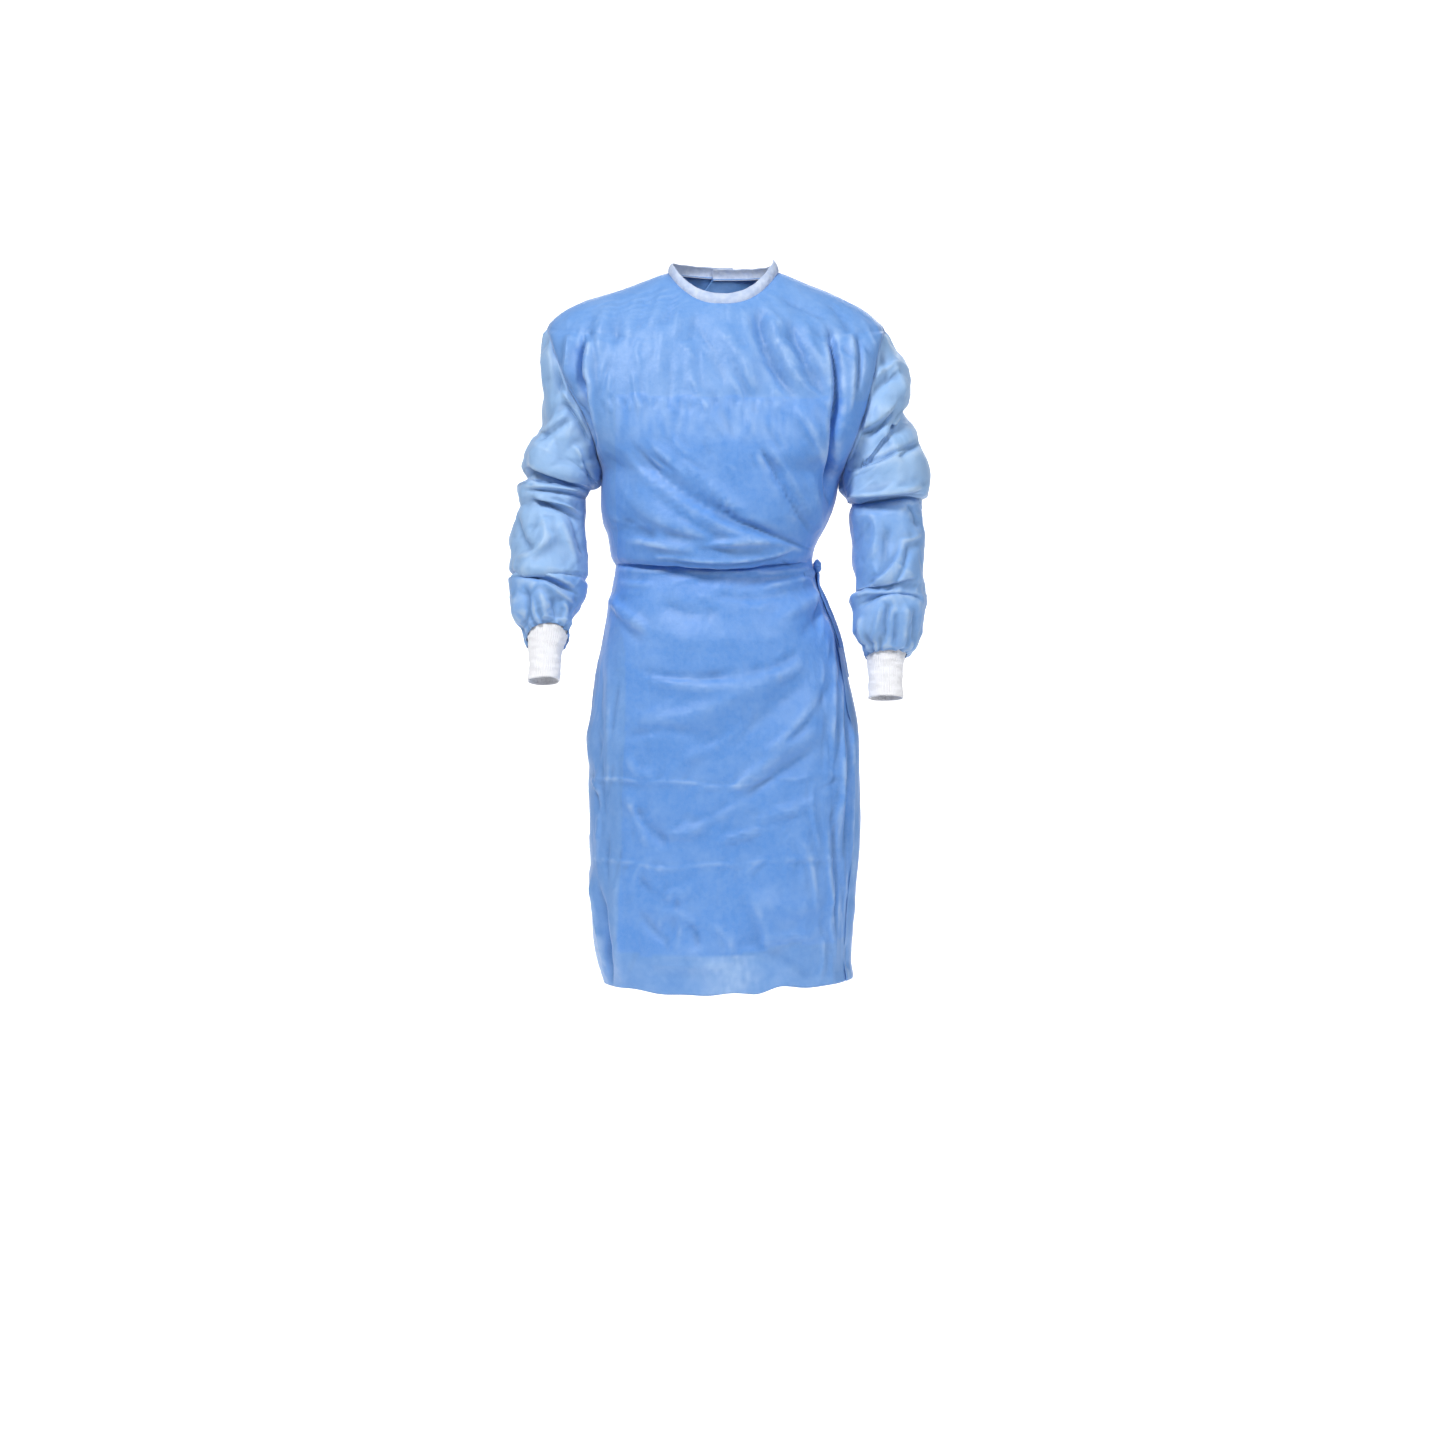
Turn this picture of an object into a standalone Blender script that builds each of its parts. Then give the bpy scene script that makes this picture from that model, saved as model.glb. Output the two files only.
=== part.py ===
"""A wrap-around surgical gown, standing in the shape that it has when it is worn.

The frame has +Z up and the gown's front faces -Y, so +X is the wearer's left. The origin is the middle of
the neck opening, where the collar rests on the wearer. Lengths in the tables are millimetres.
Every cloth piece is a wall: its outer points are worked out from the sections, and its inner points lie one
wall thickness inside them.
"""

from collections import namedtuple

import bmesh
import bpy
import numpy as np

MM = 0.001

# Driving sizes, in millimetres
CLOTH_WALL = 2.0
KNIT_WALL = 2.0
SEAM_GAP = 0.3
OVERLAP_RISE = 5.5  # how far the lapped back panel's outside stands off the panel under it
BINDING_HEIGHT = 15.0
BINDING_LEAN = 5.0  # how far the binding's upper edge stands in from its lower edge
TIE_WALL = 1.5
FRONT_TIE_CLEARANCE = 0.8
TIE_CLEARANCE = 1.6
KNOT_CLEARANCE = 0.6
KNOT_SIZE = (13.0, 21.6, 22.0)
KNOT_DEPTH = -14.0
KNOT_HEIGHT = -435.5

# How many steps each stretch of a panel has, from hem to neck
SKIRT_STEPS = 11
WAIST_STEPS = 7
CHEST_STEPS = 2
ARMHOLE_STEPS = 14
SHOULDER_STEPS = 3
FRONT_COLUMNS = 26
OUTER_BACK_COLUMNS = 24
INNER_BACK_COLUMNS = 14
SLEEVE_RING_POINTS = 2 * ARMHOLE_STEPS
CUFF_RING_POINTS = 20
BINDING_STEPS = 48
GATHER_DEPTH = 2.2

# The front's hem is lifted at the wearer's left: how far, where along X, and over how many of BODY's rows
HEM_LIFT = 10.0
HEM_LIFT_STARTS, HEM_LIFT_FULL, HEM_LIFT_ENDS = 45.0, 90.0, 175.0
HEM_LIFT_ROWS = 3

# Colours and finish
CLOTH_BLUE = (0.16, 0.36, 0.80)
SLEEVE_BLUE = (0.24, 0.44, 0.80)
KNIT_WHITE = (0.86, 0.85, 0.90)
BINDING_GREY = (0.66, 0.72, 0.84)

# One level section of the body. right_* and left_* are where the front and back panels meet at the wearer's
# right and left: the side seam, then the armhole, then the shoulder seam. side_front and side_back are how
# far the two panels' edges stand apart there, which is the armhole's depth. front_* and back_* are the
# middle of the front and of the back.
Section = namedtuple(
    "Section",
    "right_x right_z left_x left_z side_front side_back front_y front_z back_y back_z",
)
BODY = [
    Section(-173, -1045, 190.5, -1037, 0, 0, -133, -1052, 140, -1047),
    Section(-181, -1015, 188.5, -1010, 0, 0, -134, -1020, 142, -1014),
    Section(-187, -970, 188.5, -968, 0, 0, -136, -973, 145, -970),
    Section(-190, -920, 191.5, -920, 0, 0, -137, -922, 148, -920),
    Section(-192, -862, 195.5, -862, 0, 0, -138, -863, 151, -862),
    Section(-194, -800, 198.5, -800, 0, 0, -139, -800, 154, -800),
    Section(-194, -745, 198.5, -745, 0, 0, -139, -745, 156, -745),
    Section(-197, -692, 196.5, -692, 0, 0, -139, -692, 157, -692),
    Section(-190, -645, 190.5, -645, 0, 0, -138, -645, 154, -645),
    Section(-184, -598, 180.5, -598, 0, 0, -136, -598, 147, -598),
    Section(-174, -540, 168.5, -540, 0, 0, -132, -540, 134, -540),
    Section(-165, -490, 149.5, -490, 0, 0, -125, -492, 117, -490),
    Section(-158, -455, 138, -455, 0, 0, -117, -459, 104, -455),
    Section(-155, -434, 134, -432, 0, 0, -110, -439, 99, -432),
    Section(-158, -428, 133.5, -425, 0, 0, -122, -443, 100, -424),
    Section(-161, -421, 135, -416, 0, 0, -134, -438, 103, -416),
    Section(-163, -408, 138, -405, 0, 0, -140, -424, 107, -406),
    Section(-166, -389, 145, -390, 0, 0, -144, -401, 112, -388),
    Section(-173, -368, 156, -368, 0, 0, -146, -371, 120, -366),
    Section(-176, -338, 166, -341, 0, 0, -145, -340, 129, -334),
    Section(-175, -303, 171, -312, 0, 0, -143, -306, 136, -300),
    Section(-181, -270, 182, -284, -50, 50, -141, -276, 138, -266),
    Section(-197, -225, 200, -238, -73, 74, -137, -236, 138, -216),
    Section(-224, -175, 216, -185, -70, 72, -130, -196, 133, -166),
    Section(-243, -125, 229, -125, -51, 53, -121, -157, 123, -120),
    Section(-252, -99, 237, -99, -27, 28, -114, -131, 113, -90),
    Section(-256, -85, 241, -88, 0, 0, -108, -113, 106, -72),
    Section(-238, -65, 226, -71, 0, 0, -104, -103, 101, -60),
    Section(-204, -46, 194, -50, 0, 0, -98, -92, 96, -45),
    Section(-160, -33, 155, -31, 0, 0, -92, -80, 90, -28),
    Section(-116, -17, 118, -16, 0, 0, -86, -69, 83, -12),
    Section(-77, -3, 83, -2, 0, 0, -79, -58, 76, 0),
]
WAIST_ROW = 11
CHEST_ROW = 18
UNDERARM_ROW = 20
SHOULDER_ROW = 26
NECK_ROW = len(BODY) - 1
SECTION_SQUARENESS = 2.35

# The lapped edges of the two back panels. across counts along a section: 0 to 1 over the front from the
# wearer's right to the left, and 1 to 2 back to the right behind. row is a row of BODY.
Edge = namedtuple("Edge", "row outer_across inner_across")
BACK_EDGES = [
    Edge(0, 0.90, 1.58),
    Edge(8, 0.91, 1.58),
    Edge(11, 0.95, 1.58),
    Edge(13, 1.04, 1.58),
    Edge(15, 1.08, 1.58),
    Edge(20, 1.16, 1.58),
    Edge(26, 1.33, 1.57),
    Edge(31, 1.44, 1.56),
]
OVERLAP_BLEND = 0.12  # the share of the back over which the lapped panel rises off the seam

# One ring of a sleeve: where its outline shows from the front, on the side away from the body and on the
# side next to it, its middle from front to back, half its depth, and how far its front lies above its back.
Ring = namedtuple("Ring", "far_x far_z near_x near_z middle_y half_depth front_rise")
RIGHT_SLEEVE = [
    Ring(-266, -128, -177.5, -306, 0, 76, 0),
    Ring(-266, -178, -178.5, -308, 0, 77, 0),
    Ring(-265, -228, -180, -310, -1, 77, 0),
    Ring(-281, -250, -181.5, -311.5, -2, 76, 4),
    Ring(-292, -273, -183, -313, -3, 75, 6),
    Ring(-291, -294, -186, -315, -4, 72, 6),
    Ring(-281, -306, -192.5, -317.5, -5, 65, 4),
    Ring(-281.5, -313, -195.5, -321, -6, 63, 2),
    Ring(-296, -318, -197, -328, -7, 68, 2),
    Ring(-295.5, -334, -198.5, -338.5, -9, 67, 2),
    Ring(-292, -348, -199.5, -352, -11, 62, 2),
    Ring(-303, -365, -199, -368, -14, 66, 0),
    Ring(-309, -394, -196, -390, -22, 67, 0),
    Ring(-306, -420, -196, -424, -33, 64, 2),
    Ring(-307, -441, -194, -447, -42, 64, 4),
    Ring(-300, -450, -198, -456, -46, 56, 6),
    Ring(-309, -456, -193, -465, -50, 59, 8),
    Ring(-308, -475, -195, -482, -57, 57, 10),
    Ring(-302, -498, -205, -502, -66, 51, 14),
    Ring(-295, -522, -214, -516, -75, 43, 18),
    Ring(-289, -538, -217, -530, -81, 37, 22),
    Ring(-284, -549, -215.5, -541, -85, 34, 24),
]
LEFT_SLEEVE = [
    Ring(258, -116, 173.5, -316, 0, 76, 0),
    Ring(268, -128, 174.5, -319, 0, 77, 0),
    Ring(276, -165, 175.5, -322, -1, 77, 0),
    Ring(275, -195, 177, -326, -2, 76, -4),
    Ring(264, -207, 178, -329, -2, 70, -8),
    Ring(267, -215, 179, -331, -3, 71, -8),
    Ring(280, -230, 180, -332.5, -4, 74, -6),
    Ring(291, -254, 181, -334, -5, 75, -4),
    Ring(298, -283, 182, -335.5, -6, 76, -2),
    Ring(305, -318, 183, -338, -8, 77, 0),
    Ring(303, -331, 183.5, -342, -9, 74, 0),
    Ring(291, -336, 188, -345, -10, 63, 0),
    Ring(292, -347, 186, -352, -11, 62, 0),
    Ring(296, -368, 183, -366, -14, 62, 0),
    Ring(297, -389, 185.5, -388, -20, 62, 0),
    Ring(293.5, -410, 189, -410, -28, 60, 0),
    Ring(297, -437, 192, -436, -38, 60, 2),
    Ring(298.5, -460, 197.5, -459, -46, 58, 6),
    Ring(296, -474, 199, -476, -51, 54, 8),
    Ring(298, -487, 184.5, -486, -54, 60, 8),
    Ring(294, -509, 188, -508, -59, 59, 6),
    Ring(289, -534, 187, -534, -63, 56, 4),
    Ring(283, -556, 203, -556, -67, 46, 6),
    Ring(272, -570, 205.5, -571, -70, 36, 8),
]
SLEEVE_SQUARENESS = 2.15
GATHERED_ROWS = 3  # how many of a sleeve's last rings are drawn into gathers

CUFF_RIGHT = [
    Ring(-278.5, -541, -220.3, -536, -84, 28, 18),
    Ring(-277.5, -554, -225, -550, -88, 26, 12),
    Ring(-276, -568, -230, -566, -93, 24, 8),
    Ring(-275, -586, -231, -585, -99, 23, 6),
    Ring(-277, -605, -231.5, -604, -105, 23, 6),
]
CUFF_LEFT = [
    Ring(268, -563, 209.5, -564, -69, 31, 6),
    Ring(264, -577, 211, -578, -73, 27, 5),
    Ring(261.5, -592, 213, -592, -77, 24.5, 4),
    Ring(261, -611, 213, -611, -82, 24, 4),
    Ring(261.5, -629, 212, -629, -87, 24, 4),
]

# The largest folds of the front and back, as a line through three points seen from that side. A positive
# height is a ridge and a negative one a furrow. lean moves the ridge's crest down, so that it overhangs.
Fold = namedtuple("Fold", "x0 z0 x1 z1 x2 z2 half_width height lean")
FRONT_FOLDS = [
    Fold(-207, -100, -213, -160, -194, -236, 17, -17, 0),
    Fold(168, -100, 177, -165, 171, -292, 18, -18, 0),
    Fold(-118, -250, -30, -340, 78, -385, 26, 11, 5),
    Fold(-72, -262, -10, -330, 92, -372, 20, 9, 4),
    Fold(-90, -300, -5, -368, 100, -395, 16, -6, 0),
    Fold(42, -245, 72, -304, 114, -368, 14, -6, 0),
    Fold(58, -60, 70, -145, 112, -215, 20, -9, 0),
    Fold(88, -60, 98, -120, 150, -200, 18, 7, 0),
    Fold(-62, -40, -66, -90, -60, -150, 16, -6, 0),
    Fold(-100, -30, -104, -80, -98, -140, 16, 6, 0),
    Fold(-128, -30, -132, -85, -124, -150, 14, -6, 0),
    Fold(-160, -40, -168, -100, -158, -190, 18, 7, 0),
    Fold(128, -40, 138, -90, 150, -150, 15, 6, 0),
    Fold(-20, -110, 10, -190, 50, -270, 18, -5, 0),
    Fold(-45, -140, -10, -215, 20, -290, 16, 5, 0),
    Fold(-166, -470, -140, -505, -85, -560, 20, 8, 3),
    Fold(-130, -592, -20, -597, 70, -590, 18, 5, 0),
    Fold(-115, -655, 30, -622, 145, -556, 30, 8, 0),
    Fold(0, -768, 80, -694, 148, -620, 28, -7, 0),
    Fold(-60, -830, 40, -790, 140, -700, 28, 6, 0),
    Fold(-110, -915, -60, -960, -20, -1010, 26, 6, 0),
    Fold(60, -930, 110, -975, 150, -1015, 26, -6, 0),
    Fold(-176, -870, -168, -960, -160, -1050, 13, -9, 0),
]
BACK_FOLDS = [
    Fold(-208, -100, -212, -160, -196, -230, 20, -15, 0),
    Fold(192, -100, 200, -165, 188, -270, 18, -14, 0),
    Fold(-90, -60, -100, -160, -96, -290, 42, 6, 0),
    Fold(-40, -60, -35, -190, 20, -330, 44, -6, 0),
    Fold(-120, -300, -20, -360, 90, -405, 40, 8, 3),
    Fold(-130, -560, 0, -520, 110, -465, 42, 7, 0),
    Fold(-120, -680, -128, -880, -124, -1045, 46, 9, 0),
    Fold(-50, -660, -54, -870, -50, -1045, 40, -7, 0),
    Fold(20, -640, 24, -870, 22, -1045, 46, 9, 0),
    Fold(92, -640, 98, -880, 94, -1040, 42, -7, 0),
]


# The ties on the wearer's left side: how far behind or before the side, and how high, each point lies.
Step = namedtuple("Step", "depth height width")
TIE_FRONT = [Step(-66, -449, 15), Step(-52, -448, 15), Step(-38, -447, 14), Step(-25.6, -445, 12)]
TIE_OUTER = [
    Step(-2.4, -445, 12),
    Step(8, -446, 14),
    Step(24, -447, 16),
    Step(44, -448, 16),
    Step(66, -449, 16),
]
END_FRONT = [Step(-18.4, -446.9, 9), Step(-19, -480, 13), Step(-22, -520, 17), Step(-26, -556, 18)]
END_REAR = [
    Step(-8.4, -446.9, 9),
    Step(-4, -480, 13),
    Step(4, -525, 17),
    Step(10, -565, 18),
    Step(14, -598, 18),
]


def clear_scene():
    for found in list(bpy.data.objects):
        bpy.data.objects.remove(found)


def cloth_material(name, colour, roughness):
    material = bpy.data.materials.new(name)
    material.use_nodes = True
    shader = material.node_tree.nodes["Principled BSDF"]
    shader.inputs["Base Color"].default_value = (*colour, 1)
    shader.inputs["Roughness"].default_value = roughness
    shader.inputs["Metallic"].default_value = 0
    return material


def smooth_step(value):
    value = np.clip(value, 0, 1)
    return value * value * (3 - 2 * value)


def read_columns(table, at):
    """The table's columns at fractional row numbers, along a cubic whose slopes never overshoot a row."""
    values = np.array(table, float)
    steps = np.diff(values, axis=0)
    slopes = np.zeros_like(values)
    before, after = steps[:-1], steps[1:]
    product = before * after
    mean = np.divide(
        2 * product, before + after, out=np.zeros_like(product), where=product > 0
    )
    slopes[1:-1] = mean
    slopes[0], slopes[-1] = steps[0], steps[-1]
    at = np.clip(np.asarray(at, float), 0, len(values) - 1)
    low = np.minimum(at.astype(int), len(values) - 2)
    t = (at - low)[..., None]
    start, end = values[low], values[low + 1]
    return (
        start * (1 + 2 * t) * (1 - t) ** 2
        + slopes[low] * t * (1 - t) ** 2
        + end * t * t * (3 - 2 * t)
        - slopes[low + 1] * t * t * (1 - t)
    )


def panel_rows():
    """Fractional rows of BODY at which a panel has its points, from hem to neck."""
    stretches = [
        (0, WAIST_ROW, SKIRT_STEPS),
        (WAIST_ROW, CHEST_ROW, WAIST_STEPS),
        (CHEST_ROW, UNDERARM_ROW, CHEST_STEPS),
        (UNDERARM_ROW, SHOULDER_ROW, ARMHOLE_STEPS),
        (SHOULDER_ROW, NECK_ROW, SHOULDER_STEPS),
    ]
    rows = [np.linspace(a, b, n, endpoint=False) for a, b, n in stretches]
    return np.concatenate([*rows, [NECK_ROW]])


def fold_shift(x, z, folds):
    """How far folds move the cloth out, and how far down, at points seen from the front or back."""
    out, down = np.zeros_like(x), np.zeros_like(x)
    for fold in folds:
        nearest = np.full_like(x, np.inf)
        for ax, az, bx, bz in (
            (fold.x0, fold.z0, fold.x1, fold.z1),
            (fold.x1, fold.z1, fold.x2, fold.z2),
        ):
            length = (bx - ax) ** 2 + (bz - az) ** 2
            along = np.clip(((x - ax) * (bx - ax) + (z - az) * (bz - az)) / length, 0, 1)
            gap = np.hypot(x - ax - along * (bx - ax), z - az - along * (bz - az))
            nearest = np.minimum(nearest, gap)
        rise = np.cos(np.clip(nearest / fold.half_width, 0, 1) * np.pi / 2) ** 2
        out += fold.height * rise
        down += fold.lean * rise
    return out, down


def hem_lift(x, row):
    """How far the front's hem is lifted at the wearer's left. It dies out over the lowest rows."""
    start = smooth_step((x - HEM_LIFT_STARTS) / (HEM_LIFT_FULL - HEM_LIFT_STARTS))
    end = smooth_step((HEM_LIFT_ENDS - x) / (HEM_LIFT_ENDS - HEM_LIFT_FULL))
    return HEM_LIFT * start * end * smooth_step(1 - row / HEM_LIFT_ROWS)


def body_points(across, row, behind=False):
    """Outer points of the gown's body, in millimetres. A section is half a superellipse in front and half
    behind, between the two sides. Its height eases from the sides to the middle as the square of its depth,
    which rounds the shoulders. behind says that a point on the left side belongs to the back."""
    column = dict(zip(Section._fields, np.moveaxis(read_columns(BODY, row), -1, 0)))
    across = np.asarray(across, float)
    in_front = across < 1 if behind else across <= 1
    turn = np.where(in_front, np.pi * (1 - across), np.pi * (across - 1))
    cosine = np.cos(turn)
    bulge = (1 - np.abs(cosine) ** SECTION_SQUARENESS) ** (1 / SECTION_SQUARENESS)
    share = (1 + cosine) / 2
    side_x = column["right_x"] + (column["left_x"] - column["right_x"]) * share
    side_z = column["right_z"] + (column["left_z"] - column["right_z"]) * share
    edge_y = np.where(in_front, column["side_front"], column["side_back"])
    middle_y = np.where(in_front, column["front_y"], column["back_y"])
    middle_z = np.where(in_front, column["front_z"], column["back_z"])
    y = edge_y + (middle_y - edge_y) * bulge
    z = side_z + (middle_z - side_z) * bulge**2
    z = z + np.where(in_front, hem_lift(side_x, row), 0)
    front_out, front_down = fold_shift(side_x, z, FRONT_FOLDS)
    back_out, back_down = fold_shift(side_x, z, BACK_FOLDS)
    out = np.where(in_front, front_out, back_out) * bulge
    down = np.where(in_front, front_down, back_down) * bulge
    y = y + np.where(in_front, -out, out)
    return np.stack([side_x, y, z - down], axis=-1)


def shared_normals(grids, closed):
    """Unit normals at every point of several grids. Points that pieces share at a seam get one normal, the sum
    of the faces round it in every piece, so that the walls of two pieces meet there without crossing."""
    every = np.concatenate([grid.reshape(-1, 3) for grid in grids])
    _, index = np.unique(np.round(every, 2), axis=0, return_inverse=True)
    index = index.reshape(-1)
    total = np.zeros((index.max() + 1, 3))
    start = 0
    for grid, ring in zip(grids, closed):
        rows, columns = grid.shape[:2]
        place = index[start : start + rows * columns].reshape(rows, columns)
        start += rows * columns
        if ring:
            grid = np.concatenate([grid, grid[:, :1]], axis=1)
            place = np.concatenate([place, place[:, :1]], axis=1)
        one = grid[1:, 1:] - grid[:-1, :-1]
        other = grid[1:, :-1] - grid[:-1, 1:]
        face = np.cross(one, other).reshape(-1, 3)
        for corner in (place[:-1, :-1], place[:-1, 1:], place[1:, 1:], place[1:, :-1]):
            np.add.at(total, corner.ravel(), face)
    total /= np.maximum(np.linalg.norm(total, axis=1, keepdims=True), 1e-9)
    cuts = np.cumsum([grid.shape[0] * grid.shape[1] for grid in grids])[:-1]
    parts = np.split(total[index], cuts)
    return [part.reshape(grid.shape) for part, grid in zip(parts, grids)]


def normals_of(points, closed=False):
    return shared_normals([points], [closed])[0]


def pulled_in(points, gap, edges):
    """The grid with the named edges moved towards their neighbours, which leaves half a seam gap."""
    moved = points.copy()
    pairs = {
        "first_column": ((slice(None), 0), (slice(None), 1)),
        "last_column": ((slice(None), -1), (slice(None), -2)),
        "first_row": ((0,), (1,)),
        "last_row": ((-1,), (-2,)),
    }
    for edge in edges:
        at, beside = pairs[edge]
        step = points[beside] - points[at]
        moved[at] += step * gap / np.linalg.norm(step, axis=-1, keepdims=True)
    return moved


def wall_object(name, outer, inner, material, closed=False):
    """A closed wall between two grids of points: two skins and the rims that join them."""
    rows, columns = outer.shape[:2]
    count = rows * columns
    index = np.arange(count).reshape(rows, columns)
    if closed:
        index = np.concatenate([index, index[:, :1]], axis=1)
    a, b = index[:-1, :-1].ravel(), index[:-1, 1:].ravel()
    c, d = index[1:, 1:].ravel(), index[1:, :-1].ravel()
    skin = np.concatenate([np.stack([a, b, c], 1), np.stack([a, c, d], 1)])
    rims = [index[0], index[-1][::-1]]
    if not closed:
        rims += [index[::-1, 0], index[:, -1]]
    faces = [skin, skin[:, ::-1] + count]
    for rim in rims:
        here, there = rim[:-1], rim[1:]
        faces.append(np.stack([there, here, here + count], 1))
        faces.append(np.stack([there, here + count, there + count], 1))
    points = np.concatenate([outer.reshape(-1, 3), inner.reshape(-1, 3)]) * MM
    mesh = bpy.data.meshes.new(name)
    mesh.from_pydata(points.tolist(), [], np.concatenate(faces).tolist())
    mesh.shade_smooth()
    mesh.materials.append(material)
    made = bpy.data.objects.new(name, mesh)
    bpy.context.scene.collection.objects.link(made)
    return made


def back_edge(rows, column):
    """The across value of a back panel's lapped edge at each row."""
    table = np.array(BACK_EDGES, float)
    return np.interp(rows, table[:, 0], table[:, 1 + column])


def front_points():
    across, row = np.meshgrid(np.linspace(0, 1, FRONT_COLUMNS + 1), panel_rows())
    return body_points(across, row)


def inner_back_points():
    """The wearer's left back panel, which lies under the other."""
    rows = panel_rows()
    share, row = np.meshgrid(np.linspace(0, 1, INNER_BACK_COLUMNS + 1), rows)
    last = back_edge(rows, 1)[:, None]
    return body_points(1 + share * (last - 1), row, behind=True)


def lapped_points(across, row):
    """Outer points of the lapped back panel: the body's points moved out, from nothing at its own seam."""
    points = body_points(across, row, behind=True)
    nudge = 0.004
    side = body_points(across + nudge, row) - body_points(across - nudge, row)
    up = body_points(across, row + nudge) - body_points(across, row - nudge)
    normal = np.cross(side, up)
    normal /= np.maximum(np.linalg.norm(normal, axis=-1, keepdims=True), 1e-9)
    rise = OVERLAP_RISE * smooth_step((2 - across) / OVERLAP_BLEND)
    return points + rise[..., None] * normal


def outer_back_points():
    """The wearer's right back panel, which wraps over the left one and round the left side."""
    rows = panel_rows()
    share, row = np.meshgrid(np.linspace(0, 1, OUTER_BACK_COLUMNS + 1), rows)
    last = back_edge(rows, 0)[:, None]
    return lapped_points(last + share * (2 - last), row)


def ring_points(ring, turn, squareness):
    """A ring's points: a superellipse between its far and near outline, tipped by its front rise."""
    column = dict(zip(Ring._fields, np.moveaxis(np.asarray(ring, float), -1, 0)))
    cosine, sine = np.cos(turn), np.sin(turn)
    power = 2 / squareness
    along = np.sign(cosine) * np.abs(cosine) ** power
    depth = np.sign(sine) * np.abs(sine) ** power
    share = (1 + along) / 2
    x = column["near_x"] + (column["far_x"] - column["near_x"]) * share
    z = column["near_z"] + (column["far_z"] - column["near_z"]) * share
    y = column["middle_y"] - column["half_depth"] * depth
    return np.stack([x, y, z + column["front_rise"] * depth], axis=-1)


def sleeve_points(table, side):
    """Rings of a sleeve, the first of them the armhole. side is -1 for the wearer's right and 1 for the left."""
    turns = np.linspace(0, 2 * np.pi, SLEEVE_RING_POINTS, endpoint=False)
    rows = SHOULDER_ROW + (UNDERARM_ROW - SHOULDER_ROW) * np.minimum(
        turns / np.pi, 2 - turns / np.pi
    )
    front = turns <= np.pi
    across = np.where(front, 0.0, 2.0) if side < 0 else np.ones_like(turns)
    armhole = body_points(across, rows)
    sections = dict(zip(Section._fields, read_columns(BODY, rows).T))
    armhole[:, 1] = np.where(front, sections["side_front"], sections["side_back"])
    at = np.arange(len(table))[:, None]
    rings = ring_points(read_columns(table, at), turns[None, :], SLEEVE_SQUARENESS)
    near_armhole = (1 - smooth_step((at + 1) / 3.5))[..., None]
    straight = ring_points(
        np.array([*ends_of(armhole), 0, armhole[:, 1].max(), 0]), turns, SLEEVE_SQUARENESS
    )
    rings = rings + near_armhole * (armhole - straight)[None]
    gathered = smooth_step((at - len(table) + GATHERED_ROWS + 1) / GATHERED_ROWS)
    wave = np.where(np.arange(SLEEVE_RING_POINTS) % 2 == 0, 1.0, -1.0) * GATHER_DEPTH
    middle = rings.mean(axis=1, keepdims=True)
    spread = rings - middle
    spread /= np.linalg.norm(spread, axis=-1, keepdims=True)
    rings += spread * (gathered * wave)[..., None]
    return outward_rings(np.concatenate([armhole[None], rings]), side)


def outward_rings(rings, side):
    """The rings turned round on the wearer's right, so that every piece's faces point out."""
    return rings if side > 0 else rings[:, ::-1]


def ends_of(armhole):
    """The armhole's top and bottom, as a ring's first four columns."""
    top, bottom = armhole[0], armhole[len(armhole) // 2]
    return top[0], top[2], bottom[0], bottom[2]


def cuff_points(table, side):
    turns = np.linspace(0, 2 * np.pi, CUFF_RING_POINTS, endpoint=False)
    at = np.arange(len(table))[:, None]
    rings = ring_points(read_columns(table, at), turns[None, :], SLEEVE_SQUARENESS)
    return outward_rings(rings, side)


def make_binding(material):
    """The neck binding: a band that carries the panels' upper edges on, from under the lap, round the front
    and over the lap."""
    start = BACK_EDGES[-1].inner_across
    end = BACK_EDGES[-1].outer_across - 2
    across = np.linspace(start, end, BINDING_STEPS + 1)
    wrapped = np.where(across < 0, across + 2, across)
    row = np.full_like(across, float(NECK_ROW))
    lapped = (across < 0)[:, None]
    lower = np.where(lapped, lapped_points(wrapped, row), body_points(wrapped, row))
    outward = lower * [1, 1, 0]
    outward /= np.linalg.norm(outward, axis=-1, keepdims=True)
    lower = lower + [0, 0, SEAM_GAP * 1.5]
    upper = lower + [0, 0, BINDING_HEIGHT] - outward * BINDING_LEAN
    outer = np.stack([upper, (upper + lower) / 2, lower])
    inner = outer - CLOTH_WALL * outward
    return wall_object("neck_binding", outer, inner, material)


def surface_row(depth, height):
    """The fractional row and the across value of a point on the wearer's left side below the chest."""
    rows = np.linspace(0, CHEST_ROW, 600)
    section = dict(zip(Section._fields, read_columns(BODY, rows).T))
    middle = section["front_y"] if depth < 0 else section["back_y"]
    bulge = np.abs(depth / middle)
    cosine = (1 - bulge**SECTION_SQUARENESS) ** (1 / SECTION_SQUARENESS)
    across = 1 + np.sign(depth) * np.arccos(cosine) / np.pi
    heights = np.maximum.accumulate(body_points(across, rows)[:, 2])
    return np.interp(height, heights, rows), np.interp(height, heights, across)


def point_and_normal(surface, across, row):
    nudge = 0.01
    side = surface(across + nudge, row) - surface(across - nudge, row)
    up = surface(across, row + nudge) - surface(across, row - nudge)
    normal = np.cross(side, up)
    return surface(across, row), normal / np.linalg.norm(normal, axis=-1, keepdims=True)


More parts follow.
